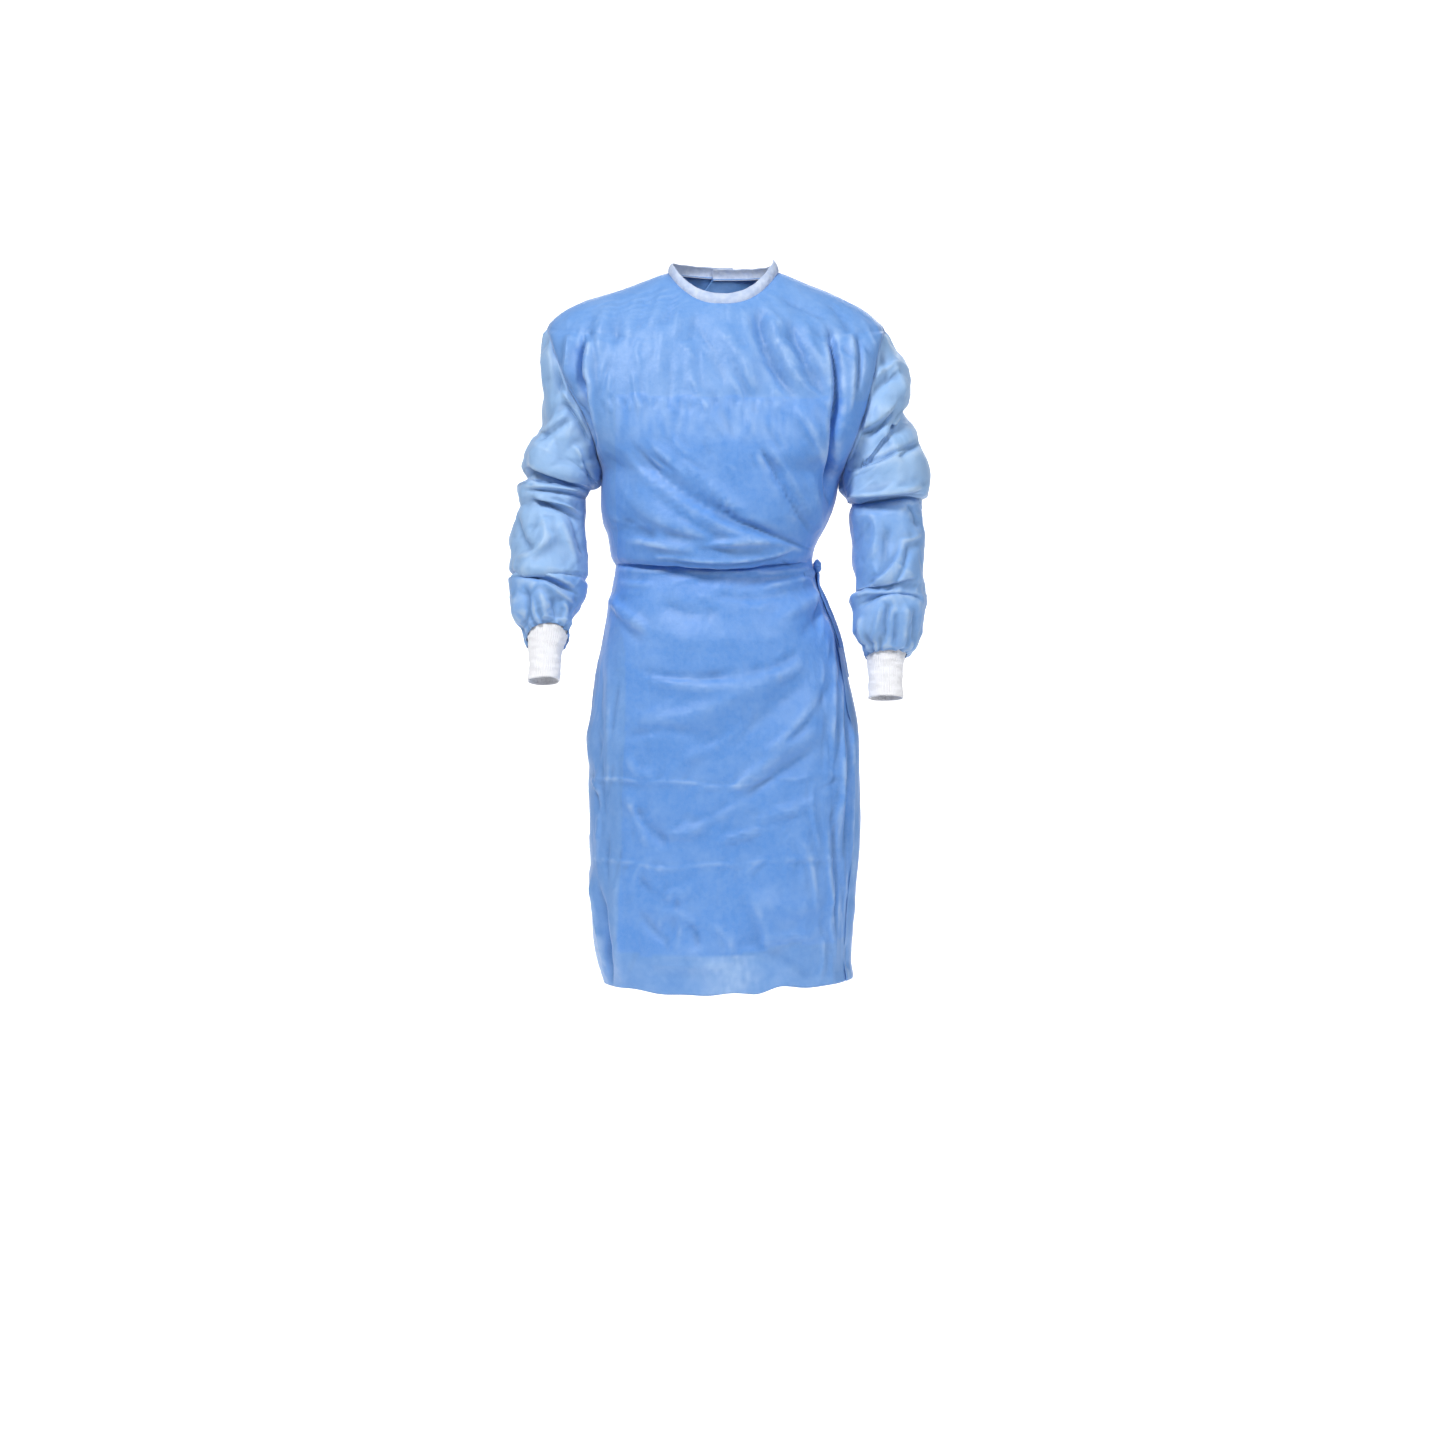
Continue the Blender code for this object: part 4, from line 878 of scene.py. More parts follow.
def turned_creases(table, shift_x, shift_z, flip):
    """The hidden side's folds: the same ones moved, and mirrored about the sleeve's own middle line at
    flip."""
    made = []
    for crease in table:
        x = [2 * flip - value + shift_x for value in (crease.x0, crease.x1, crease.x2)]
        z = [value + shift_z for value in (crease.z0, crease.z1, crease.z2)]
        made.append(
            Crease(x[0], z[0], x[1], z[1], x[2], z[2], crease.right, crease.left, *crease[8:])
        )
    return made


print(len(RIGHT_SLEEVE_CREASES), "and", len(LEFT_SLEEVE_CREASES), "folds on the sleeves")

# %% [markdown]
# ## The panels' grids
# The front is one width of cloth from side seam to side seam. The back opens all the way down: one back panel
# laps over the other and round the wearer's left side. Its edge runs from near the neck's middle down to the
# front of the left hip.

# %% The three panels' points
Edge = namedtuple("Edge", "row outer_across inner_across")
BACK_EDGES = [
    Edge(0, 0.90, 1.58),
    Edge(8, 0.91, 1.58),
    Edge(11, 0.95, 1.58),
    Edge(13, 1.04, 1.58),
    Edge(15, 1.08, 1.58),
    Edge(20, 1.16, 1.58),
    Edge(26, 1.33, 1.57),
    Edge(31, 1.44, 1.56),
]
FRONT_COLUMNS = 174
OUTER_BACK_COLUMNS = 165
INNER_BACK_COLUMNS = 80


def back_edge(rows, column):
    """The across value of a back panel's lapped edge at each row."""
    table = np.array(BACK_EDGES, float)
    return np.interp(rows, table[:, 0], table[:, 1 + column])


def panel_grid(surface, first, last, columns):
    """Points of the surface from the across value first to last, which may change from row to row."""
    share = np.linspace(0, 1, columns + 1)[None, :]
    first, last = (np.broadcast_to(edge, PANEL_ROWS.shape)[:, None] for edge in (first, last))
    return surface(first + share * (last - first), PANEL_ROWS[:, None] + 0 * share)


def behind_points(across, row):
    return body_points(across, row, behind=True)


base_points = {
    "front_panel": panel_grid(body_points, 0, 1, FRONT_COLUMNS),
    "back_panel_left": panel_grid(behind_points, 1, back_edge(PANEL_ROWS, 1), INNER_BACK_COLUMNS),
    "back_panel_right": panel_grid(
        lapped_points, back_edge(PANEL_ROWS, 0), 2, OUTER_BACK_COLUMNS
    ),
    "sleeve_right": sleeve_points(RIGHT_SLEEVE, -1),
    "sleeve_left": sleeve_points(LEFT_SLEEVE, 1),
}
closed_pieces = {"sleeve_right", "sleeve_left"}
base_normals = dict(
    zip(
        base_points,
        shared_normals(list(base_points.values()), [n in closed_pieces for n in base_points]),
    )
)
for name, points in base_points.items():
    print(name, points.shape[:2], "points")

# %% [markdown]
# ## From smooth form to folded cloth
# Near a seam two layers of cloth are sewn together with their edges turned in, so the seam is stiffer
# than the cloth beside it. It keeps its line and the folds die out before it, and the thread pulls it
# into a fine groove with small puckers. Away from the seams every point moves along its normal by the sum
# of its folds.

# %% Distance to the edges, and the folds' sum
SEAM_STIFF = 10
SHARPEST_BEND = 0.1
BODY_FOLDS, SKIRT_FOLDS, SLEEVE_FOLDS = 1.3, 1.25, 1.3


def run_along(points, axis, from_end=False):
    """The length along the rows or columns of the grid from its first or last edge to each point, in mm."""
    steps = np.linalg.norm(np.diff(points, axis=axis), axis=-1)
    start = np.zeros_like(np.take(steps, [0], axis=axis))
    run = np.concatenate([start, np.cumsum(steps, axis=axis)], axis=axis)
    return np.take(run, [-1], axis=axis) - run if from_end else run


def seam_distance(points, seams):
    """The shortest of the lengths to the named seams."""
    ways = {
        "first_column": (1, False),
        "last_column": (1, True),
        "first_row": (0, False),
        "last_row": (0, True),
    }
    return np.min([run_along(points, *ways[seam]) for seam in seams], axis=0)


def seam_groove(points, distance, seed):
    """A fine groove on the seam itself and short puckers beside it."""
    puckers = gradient_noise(points / 7.0, seed) * np.exp(-(((distance - 5) / 5) ** 2))
    return -0.9 * np.exp(-((distance / 2.2) ** 2)) + 0.55 * puckers


def below_waist(points):
    """0 above the ties and 1 on the skirt."""
    return smooth_step((-465 - points[..., 2]) / 90)


def soft_unevenness(points):
    broad = gradient_noise(points / np.array([88, 88, 130]), 11)
    facet = 2.3 * facets(points, (62, 62, 92), 13) + 0.9 * facets(points, (27, 27, 38), 17)
    return 1.8 * broad + facet


def crumple(points):
    """The sleeves' sharper and higher facets, in two sizes."""
    return 5.6 * facets(points, (60, 60, 50), 43) + 3.4 * facets(points, (33, 33, 28), 47)


def bend_mark(points, height, closed=False):
    """1 on a sharp crest and -1 in a sharp furrow, from how fast the height's slope changes along the
    grid."""
    if closed:
        points = np.concatenate([points[:, -2:], points, points[:, :2]], axis=1)
        height = np.concatenate([height[:, -2:], height, height[:, :2]], axis=1)
    bend = np.zeros_like(height)
    for axis in (0, 1):
        step = np.maximum(np.gradient(run_along(points, axis), axis=axis), 0.5)
        slope = np.gradient(height, axis=axis) / step
        bend -= np.gradient(slope, axis=axis) / step
    bend = np.clip(bend / SHARPEST_BEND, -1.5, 1.5)
    for axis in (0, 1, 0, 1):
        bend = (np.roll(bend, 1, axis) + 2 * bend + np.roll(bend, -1, axis)) / 4
    bend = bend[:, 2:-2] if closed else bend
    return np.clip(bend, -1, 1)


def painted_side_sheen_streaks(points):
    """Painted whitish upright streaks of sheen, with fainter painted shade between them, where the skirt
    turns round its sides."""
    x, y = np.abs(points[..., 0]), points[..., 1]
    side = smooth_step((x - 146) / 26) * smooth_step((-18 - y) / 40) * below_waist(points)
    streak = gradient_noise(points / np.array([5, 9, 90]), 27) - 0.1
    patch = np.clip(0.4 + 1.4 * gradient_noise(points / 120.0, 28), 0, 1)
    return side * patch * (np.clip(2.2 * streak, 0, 1) - 0.35 * np.clip(-2 * streak, 0, 1))


def moved(points, normals, height, sag):
    return points + height[..., None] * normals - sag[..., None] * np.array([0, 0, 1.0])


def pull_in(points, seams, gap=SEAM_GAP / 2):
    """The grid's named edges drawn back along the cloth by half the gap between two pieces."""
    points = points.copy()
    places = {
        "first_column": (np.s_[:, 0], np.s_[:, 1]),
        "last_column": (np.s_[:, -1], np.s_[:, -2]),
        "first_row": (np.s_[0], np.s_[1]),
        "last_row": (np.s_[-1], np.s_[-2]),
    }
    for seam in seams:
        edge, beside = places[seam]
        way = points[beside] - points[edge]
        length = np.maximum(np.linalg.norm(way, axis=-1, keepdims=True), 1e-6)
        points[edge] += way * np.minimum(gap / length, 0.5)
    return points


# %% The second layer on the front, and the thinner cloth near the hem with its painted backlight and highlight
LAYER_TOP, LAYER_BOTTOM, LAYER_SIDE = -195, -988, -151
HEM_DEPTH = 17


def band(value, low, high, soft=1.2):
    return smooth_step((value - low) / soft + 0.5) * smooth_step((high - value) / soft + 0.5)


def second_layer(points):
    """1 where the front is doubled: from a little inside its right side to its left side, from the breast to
    the shins. Its upper edge droops a little between the gathers and its lower edge wanders."""
    x, z = points[..., 0], points[..., 2]
    top = LAYER_TOP - 5 * smooth_step((x + 160) / 130) + 1.5 * np.sin(x / 11)
    side = LAYER_SIDE + 14 * smooth_step((-480 - z) / 90) - 8 * smooth_step((-640 - z) / 260)
    bottom = LAYER_BOTTOM - 8 + 16 * smooth_step((x - 10) / 90) + 1.6 * np.sin(x / 13) + np.sin(x / 5.3)
    return band(z, bottom, top) * smooth_step((x - side) / 1.2 + 0.5)


def backlit_thin_patch(points):
    """1 where the hem is a single layer, held up to the light; there its colour gets painted backlight."""
    x, z = points[..., 0], points[..., 2]
    middle = np.exp(-(((x - 12) / 42) ** 2)) + 0.3 * gradient_noise(points / 16.0, 19)
    blotch = 0.7 + 0.5 * gradient_noise(points / np.array([7, 7, 11]), 29)
    return 0.62 * np.clip(middle * blotch, 0, 1) * band(z, -1060, -996, 5)


def pale_top(points):
    """The top of the second layer catches the light in upright streaks."""
    x, z = points[..., 0], points[..., 2]
    streak = 0.5 + gradient_noise(points / np.array([9, 9, 34]), 37)
    return 0.26 * np.clip(streak, 0, 1) * band(z, -262, -200, 26) * band(x, -170, 110, 30)


def under_ties(points, height):
    """The ties' ends lie on the wearer's left hip, so the cloth under them stays up."""
    x, y, z = np.moveaxis(points, -1, 0)
    near = smooth_step((x - 90) / 20) * band(y, -46, 34, 20) * band(z, -640, -425, 30)
    return height + near * (np.clip(height, -0.8, 0.4) - height)


def hem_wave(points):
    """The hem waves up and down a little."""
    x = points[..., 0]
    near = smooth_step(1 - run_along(points, 0) / 90)
    return near * (1.6 * np.sin(x / 27 + 0.5) + 1.0 * np.sin(x / 11))


# %% Fold the three panels
LAP_PRESS = 3.9
PANEL_SEAMS = {
    "front_panel": ["first_column", "last_column", "last_row"],
    "back_panel_left": ["first_column", "last_row"],
    "back_panel_right": ["last_column", "last_row"],
}
cloth_points, cloth_marks = {}, {}
for name, seams in PANEL_SEAMS.items():
    points, normals = base_points[name], base_normals[name]
    distance = seam_distance(points, seams)
    keep = smooth_step(distance / SEAM_STIFF)
    to_front = smooth_step(0.5 - 1.8 * normals[..., 1])
    x, z = points[..., 0], points[..., 2]
    front, front_sag = crease_field(x, z, FRONT_CREASES)
    back, back_sag = crease_field(x, z, BACK_CREASES)
    front += gathers(x, z, -170, 66, -203, 24, 21) + crinkles(x, z, FINE_PATCHES, 22)
    back += crinkles(x, z, FINE_PATCHES, 23)
    folds = to_front * front + (1 - to_front) * back
    share = BODY_FOLDS + (SKIRT_FOLDS - BODY_FOLDS) * below_waist(points)
    height = share * folds + soft_unevenness(points)
    height = under_ties(points, height)
    sag = to_front * front_sag + (1 - to_front) * back_sag
    layer = second_layer(points) if name == "front_panel" else np.zeros_like(x)
    hem = run_along(points, 0)
    hem_line = -0.5 * np.exp(-(((hem - HEM_DEPTH) / 1.3) ** 2))
    height = keep * height + seam_groove(points, distance, 31) + 0.5 * layer + hem_line
    if name == "back_panel_right":
        height -= LAP_PRESS * np.exp(-((run_along(points, 1) / 16) ** 2))
    cloth_points[name] = pull_in(
        moved(points, normals, height, keep * sag - hem_wave(points)), seams
    )
    cloth_marks[name] = {
        "second_layer": layer,
        # painted backlight on the hem's single layer and painted highlight streaks on the second layer's top
        "backlight_and_highlight": backlit_thin_patch(points) + to_front * pale_top(points),
        # painted highlight on crests and on the skirt's side sheen streaks, painted shade in furrows and between
        # the streaks
        "bend": bend_mark(points, keep * share * folds) + painted_side_sheen_streaks(points),
    }
    print(name, "folds from %.1f to %.1f mm" % (height.min(), height.max()))

# %% [markdown]
# ## The sleeves
# The sleeves are creased more sharply than the body because they are pushed up, and their lower ends are
# drawn together round the cuffs, so pleats fan out from there.

# %% Fold the two sleeves
PLEATS = 15


def mouth_pleats(turns, distance, seed):
    """Uneven pleats round the lower end. They are deepest where the cloth is sewn to the cuff."""
    source = np.random.default_rng(seed)
    wander = sum(
        source.uniform(-0.5, 0.5) * np.sin(k * turns + source.uniform(0, 6.3)) for k in (1, 2, 3)
    )
    wave = np.cos(PLEATS * turns + 2.2 * wander + 0.02 * distance)
    pleat = np.sign(wave) * np.abs(wave) ** 0.7
    other = 0.6 + 0.4 * np.sin(4 * turns + seed)
    return 2.6 * other * pleat * np.exp(-((distance / 24) ** 1.3))


SLEEVES = {
    "sleeve_right": (RIGHT_SLEEVE_CREASES, -1, -247, 3),
    "sleeve_left": (LEFT_SLEEVE_CREASES, 1, 242, 5),
}
for name, (table, side, middle, seed) in SLEEVES.items():
    points, normals = base_points[name], base_normals[name]
    from_armhole, from_mouth = run_along(points, 0), run_along(points, 0, True)
    keep = smooth_step(from_armhole / SEAM_STIFF) * smooth_step(from_mouth / 10)
    to_front = smooth_step(0.5 - 1.6 * normals[..., 1])
    x, z = points[..., 0], points[..., 2]
    front, front_sag = crease_field(x, z, table)
    rear_table = turned_creases(table, 4 * side, -12, middle)
    rear, rear_sag = crease_field(x, z, rear_table)
    height = to_front * front + (1 - to_front) * rear
    sag = to_front * front_sag + (1 - to_front) * rear_sag
    height += to_front * crinkles(x, z, SLEEVE_PATCHES, seed)
    height += (1 - to_front) * crinkles(x, z, SLEEVE_PATCHES, seed + 1)
    height = keep * (SLEEVE_FOLDS * height + crumple(points)) + seam_groove(points, from_armhole, 31)
    turns = np.broadcast_to(ring_turns(side)[None, :], x.shape)
    height += mouth_pleats(turns, from_mouth, seed) - 4.2 * smooth_step(1 - from_mouth / 9)
    cloth_points[name] = pull_in(moved(points, normals, height, keep * sag), ["first_row"])
    lower = smooth_step((-(z + 452) if side < 0 else -(z + 338)) / 3)
    cloth_marks[name] = {
        "second_layer": 0.72 * lower,
        "backlight_and_highlight": 0 * x,
        # painted highlight on the sleeves' crests and painted shade in their furrows
        "bend": bend_mark(points, height, closed=True),
    }
    print(name, "folds from %.1f to %.1f mm" % (height.min(), height.max()))

# %% [markdown]
# ## Turn the grids into cloth
# The cloth is a third of a millimetre thick. A wall of just under one millimetre, inwards from the outside,
# renders without light leaking through and still looks like cloth at the edges.

# %% A piece of cloth
def add_marks(mesh, marks):
    for name, values in marks.items():
        attribute = mesh.attributes.new(name, "FLOAT", "POINT")
        attribute.data.foreach_set("value", np.ascontiguousarray(values, np.float32).ravel())


def cloth_piece(node, points, wall=CLOTH_WALL, closed=False, marks=None):
    """A grid of points in millimetres with a Solidify modifier, riding on the body in the place of its
    solid."""
    mesh = grid_mesh(node + "_cloth", points * 0.001, closed)
    if marks:
        add_marks(mesh, marks)
    piece = bpy.data.objects.new(node + "_cloth", mesh)
    bpy.context.scene.collection.objects.link(piece)
    thick = piece.modifiers.new("wall", "SOLIDIFY")
    thick.thickness = wall * 0.001
    thick.offset = -1
    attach(piece, "root")
    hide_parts(node)
    return piece


def measured_area(points, closed=False):
    """The area of one layer in square metres."""
    if closed:
        points = np.concatenate([points, points[:, :1]], axis=1)
    face = np.cross(points[1:, 1:] - points[:-1, :-1], points[1:, :-1] - points[:-1, 1:])
    return np.linalg.norm(face, axis=-1).sum() / 2 * 1e-6


pieces = {}
for name, points in cloth_points.items():
    pieces[name] = cloth_piece(
        name, points, closed=name in closed_pieces, marks=cloth_marks[name]
    )
    print(name, "%.3f square metres" % measured_area(points, name in closed_pieces))

# %% [markdown]
# ## The cuffs
# Each cuff is a tube of white ribbed knit that stretches over the hand. It is knitted, so its ribs run
# along the arm all the way, and it bunches a little where it is pushed up.

# %% Cuffs
CUFF_POINTS, CUFF_STEPS, CUFF_RIBS = 288, 10, 48


def cuff_points(table, side, seed):
    """The rings of the cuff with rounded ribs, and soft bunching round it."""
    turns = np.linspace(0, 2 * np.pi, CUFF_POINTS, endpoint=False)
    at = np.linspace(0, len(table) - 1, CUFF_STEPS * (len(table) - 1) + 1)[:, None]
    rings = ring_points(read_columns(table, at), turns[None, :])
    rings = outward_rings(rings, side)
    normal = shared_normals([rings], [True])[0]
    down = run_along(rings, 0)
    bunch = gradient_noise(rings / np.array([16, 16, 9]), seed)
    ripple = gradient_noise(rings / np.array([30, 30, 5.5]), seed + 1)
    turned = turns if side > 0 else turns[::-1]
    ribs = np.cos(CUFF_RIBS * turned + 0.5 * gradient_noise(rings / 20.0, seed + 2))
    end = smooth_step(run_along(rings, 0, True) / 4)
    height = 1.3 * bunch + 0.8 * ripple + 0.42 * ribs * (0.4 + 0.6 * end)
    return rings + normal * (height * smooth_step(down / 6))[..., None]


for name, table, side, seed in (
    ("cuff_right", CUFF_RIGHT, -1, 61),
    ("cuff_left", CUFF_LEFT, 1, 67),
):
    points = cuff_points(table, side, seed)
    cloth_points[name] = points
    pieces[name] = cloth_piece(name, points, wall=1.6, closed=True)
    print(name, points.shape[:2], "points")

# %% [markdown]
# ## The neck binding
# A folded tape of soft pale cloth is sewn over the neck edge. It stands up a little, leans in over its upper
# edge, and is crumpled at the wearer's left, where its end is not caught down.

# %% Binding
BINDING_STEPS, BINDING_ROWS = 420, 12
BINDING_HEIGHT, BINDING_LEAN, BINDING_OVERLAP = 18.5, 5, 3.5


def binding_points():
    """The panels' upper edge carried on from under the lap, round the front and over the lap, and raised
    row by row along a profile that bulges out in the middle and turns in at the top."""
    start, end = BACK_EDGES[-1].inner_across, BACK_EDGES[-1].outer_across - 2
    across = np.linspace(start, end, BINDING_STEPS + 1)
    wrapped = np.where(across < 0, across + 2, across)
    row = np.full_like(across, float(NECK_ROW))
    lapped = (across < 0)[:, None]
    lower = np.where(lapped, lapped_points(wrapped, row), body_points(wrapped, row))
    outward = lower * [1, 1, 0]
    outward /= np.linalg.norm(outward, axis=-1, keepdims=True)
    share = np.linspace(1, 0, BINDING_ROWS + 1)[:, None]
    crumpled = np.exp(-(((across - 0.86) / 0.16) ** 2))
    tall = BINDING_HEIGHT - 1.5 + 3 * crumpled + 0.8 * gradient_noise(lower / 14.0, 71)
    tip = np.exp(-(((across - 0.93) / 0.012) ** 2))
    tall = tall + 4 * tip
    rise = tall * share
    out = 0.5 + 1.1 * np.sin(np.pi * share) - BINDING_LEAN * share**2
    points = lower + [0, 0, -BINDING_OVERLAP] + out[..., None] * outward
    points[..., 2] += rise
    crumple = (0.35 + 1.1 * crumpled) * gradient_noise(points / np.array([7, 7, 9]), 72)
    puckers = 0.3 * gradient_noise(points / np.array([3.2, 3.2, 12]), 73)
    loose = smooth_step(share / 0.25)
    return points + ((crumple + puckers) * loose)[..., None] * outward


points = binding_points()
cloth_points["neck_binding"] = points
pieces["neck_binding"] = cloth_piece("neck_binding", points, wall=1.2)
print("neck_binding", points.shape[:2], "points")

# %% [markdown]
# ## The belts
# Two flat belts of the body's cloth, folded in four and sewn, come round the waist and are tied at the
# wearer's left. They lie on the cloth, so their paths are found on the body's own surface and raised off
# it.

# %% Belts
Step = namedtuple("Step", "depth height width")
TIE_FRONT = [Step(-66, -449, 15), Step(-52, -448, 15), Step(-38, -447, 14), Step(-25.6, -445, 12)]
TIE_OUTER = [
    Step(-2.4, -445, 12), Step(8, -446, 14), Step(24, -447, 16), Step(44, -448, 16),
    Step(66, -449, 16),
]
END_FRONT = [
    Step(-18.4, -446.9, 9), Step(-19, -480, 13), Step(-22, -520, 17), Step(-26, -556, 18),
]
END_REAR = [
    Step(-8.4, -446.9, 9), Step(-4, -480, 13), Step(4, -525, 17), Step(10, -565, 18),
    Step(14, -598, 18),
]
TIE_WALL, TIE_COLUMNS, TIE_ROWS = 1.2, 12, 60


def surface_row(depth, height):
    """The fractional row and the across value of a point on the wearer's left side below the chest."""
    rows = np.linspace(0, CHEST_ROW, 600)
    section = dict(zip(Section._fields, read_columns(BODY, rows).T))
    middle = section["front_y"] if depth < 0 else section["back_y"]
    bulge = np.abs(depth / middle)
    cosine = (1 - bulge**SQUARENESS) ** (1 / SQUARENESS)
    across = 1 + np.sign(depth) * np.arccos(cosine) / np.pi
    heights = np.maximum.accumulate(body_points(across, rows)[:, 2])
    return np.interp(height, heights, rows), np.interp(height, heights, across)


def lap_drop(points, row):
    """How far the lapping panel is pressed down at these points, which is most at its edge."""
    edge = lapped_points(back_edge(row, 0), row)
    away = np.linalg.norm(points - edge, axis=-1)
    return LAP_PRESS * np.exp(-((away / 16) ** 2))


def tie_points(path, surface, clearance, seed):
    """A strip along the path: narrow where it enters the knot, and with a fold or two along it."""
    at = np.linspace(0, len(path) - 1, TIE_ROWS + 1)
    steps = read_columns(path, at)
    places = [surface_row(depth, height) for depth, height in steps[:, :2]]
    row, across = np.array(places).T
    middle = surface(across, row)
    normal = direction_out(surface, across, row, 0.01)
    along = np.gradient(middle, axis=0)
    along /= np.linalg.norm(along, axis=-1, keepdims=True)
    sideways = np.cross(along, normal)
    share = np.linspace(-0.5, 0.5, TIE_COLUMNS + 1)
    width = steps[:, 2][:, None] * share[None, :]
    points = middle[:, None] + width[..., None] * sideways[:, None]
    lift = clearance + TIE_WALL + 0.9 * np.abs(gradient_noise(points / np.array([6, 6, 26]), seed))
    if surface is lapped_points:
        lift -= lap_drop(middle, row)[:, None]
    lift += 0.7 * np.exp(-(((share[None, :] - 0.12) / 0.09) ** 2))
    lift -= 1.7 * np.abs(2 * share[None, :]) ** 3
    return points + lift[..., None] * normal[:, None]


TIES = {
    "waist_tie_front": (TIE_FRONT, body_points, 1.6, 81),
    "waist_tie_outer": (TIE_OUTER, lapped_points, 2.2, 83),
    "tie_end_front": (END_FRONT, lapped_points, 1.2, 85),
    "tie_end_rear": (END_REAR, lapped_points, 1.2, 87),
}
for name, (path, surface, clearance, seed) in TIES.items():
    points = tie_points(path, surface, clearance, seed)
    cloth_points[name] = points
    pieces[name] = cloth_piece(name, points, wall=TIE_WALL)
    print(name, "%.0f mm long" % run_along(points, 0).max())

# %% [markdown]
# ## The knot
# The two belts cross and wrap over each other once. Seen from outside that is a small lump in which two bands
# run round each other, so it is a ball pressed to the lump's size with furrows between the bands.

# %% Knot
KNOT_SIZE = np.array([13, 21.6, 22.0])
KNOT_DEPTH, KNOT_HEIGHT, KNOT_CLEARANCE = -14, -435.5, 0.6


def knot_points(turn_steps=96, rise_steps=64):
    """A ball whose radius dips along two slanting sets of furrows."""
    turn = np.linspace(0, 2 * np.pi, turn_steps, endpoint=False)[None, :]
    rise = np.linspace(-np.pi / 2 + 0.02, np.pi / 2 - 0.02, rise_steps)[:, None]
    ball = np.stack(
        np.broadcast_arrays(
            np.cos(rise) * np.cos(turn), np.cos(rise) * np.sin(turn), np.sin(rise)
        ),
        axis=-1,
    )
    x, y, z = np.moveaxis(ball, -1, 0)
    wrap = 1 - 0.16 * np.abs(np.cos(4.2 * (z + 0.5 * y))) ** 3 - 0.07 * np.cos(8 * y + 2 * x) ** 2
    wrap = wrap - 0.03 * gradient_noise(ball * 5, 91)
    return ball * KNOT_SIZE / 2 * wrap[..., None]


row, across = surface_row(KNOT_DEPTH, KNOT_HEIGHT)
points = knot_points()
place = body_points(np.array(across), np.array(row))
points = points + place + np.array([KNOT_CLEARANCE - points[..., 0].min(), 0, 0])
knot = bpy.data.objects.new("waist_knot_cloth", grid_mesh("waist_knot_cloth", points * 0.001, True))
bpy.context.scene.collection.objects.link(knot)
shape = bmesh.new()
shape.from_mesh(knot.data)
bmesh.ops.holes_fill(shape, edges=shape.edges, sides=0)
shape.to_mesh(knot.data)
shape.free()
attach(knot, "root")
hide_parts("waist_knot")
pieces["waist_knot"] = knot
print("knot at", np.round(place, 1))

# %% [markdown]
# ## The cloth's colour and sheen
# The gown is of a thin pressed web of fine plastic fibres. It has no yarns: close to, it is a cloudy web, a
# little denser in some places than in others. It scatters light at a slant, so it turns whitish wherever it
# curves away. A sheen on the shader gives that, and cloudy noise gives the web. The second layer of the front
# makes the blue deeper. Light and shade are also painted into the colour: a single layer in front of light
# is painted paler as painted backlight, the top of the second layer and the skirt's sides get painted
# highlight streaks, crests are painted paler, partly for creased fibres and partly as painted highlight,
# and furrows are painted darker as painted shade. The sleeves' blues are painted lighter than the body's
# for the light they catch.

# %% Materials
def shader_of(material):
    return material.node_tree.nodes["Principled BSDF"]


def node(material, kind, **settings):
    made = material.node_tree.nodes.new(kind)
    for name, value in settings.items():
        setattr(made, name, value)
    return made


def noise_of(material, coordinates, scale, detail=3.0, rough=0.55):
    noise = node(material, "ShaderNodeTexNoise")
    noise.inputs["Scale"].default_value = scale
    noise.inputs["Detail"].default_value = detail
    noise.inputs["Roughness"].default_value = rough
    material.node_tree.links.new(coordinates, noise.inputs["Vector"])
    return noise.outputs["Fac"]


def mix_colour(material, share, first, second):
    mix = node(material, "ShaderNodeMix", data_type="RGBA")
    for socket, value in ((mix.inputs[0], share), (mix.inputs[6], first), (mix.inputs[7], second)):
        if isinstance(value, bpy.types.NodeSocket):
            material.node_tree.links.new(value, socket)
        elif isinstance(value, tuple):
            socket.default_value = (*value, 1)
        else:
            socket.default_value = value
    return mix.outputs[2]


def remap(material, value, low, high, to_low, to_high):
    ramp = node(material, "ShaderNodeMapRange")
    for socket, number in zip(list(ramp.inputs)[1:5], (low, high, to_low, to_high)):
        socket.default_value = number
    material.node_tree.links.new(value, ramp.inputs[0])
    return ramp.outputs[0]


def bumped(material, heights):
    """Adds up bumps, each of a height value, a strength and a depth in metres."""
    links, before = material.node_tree.links, None
    for value, strength, depth in heights:
        bump = node(material, "ShaderNodeBump")
        bump.inputs["Strength"].default_value = strength
        bump.inputs["Distance"].default_value = depth
        links.new(value, bump.inputs["Height"])
        if before is not None:
            links.new(before, bump.inputs["Normal"])
        before = bump.outputs["Normal"]
    links.new(before, shader_of(material).inputs["Normal"])


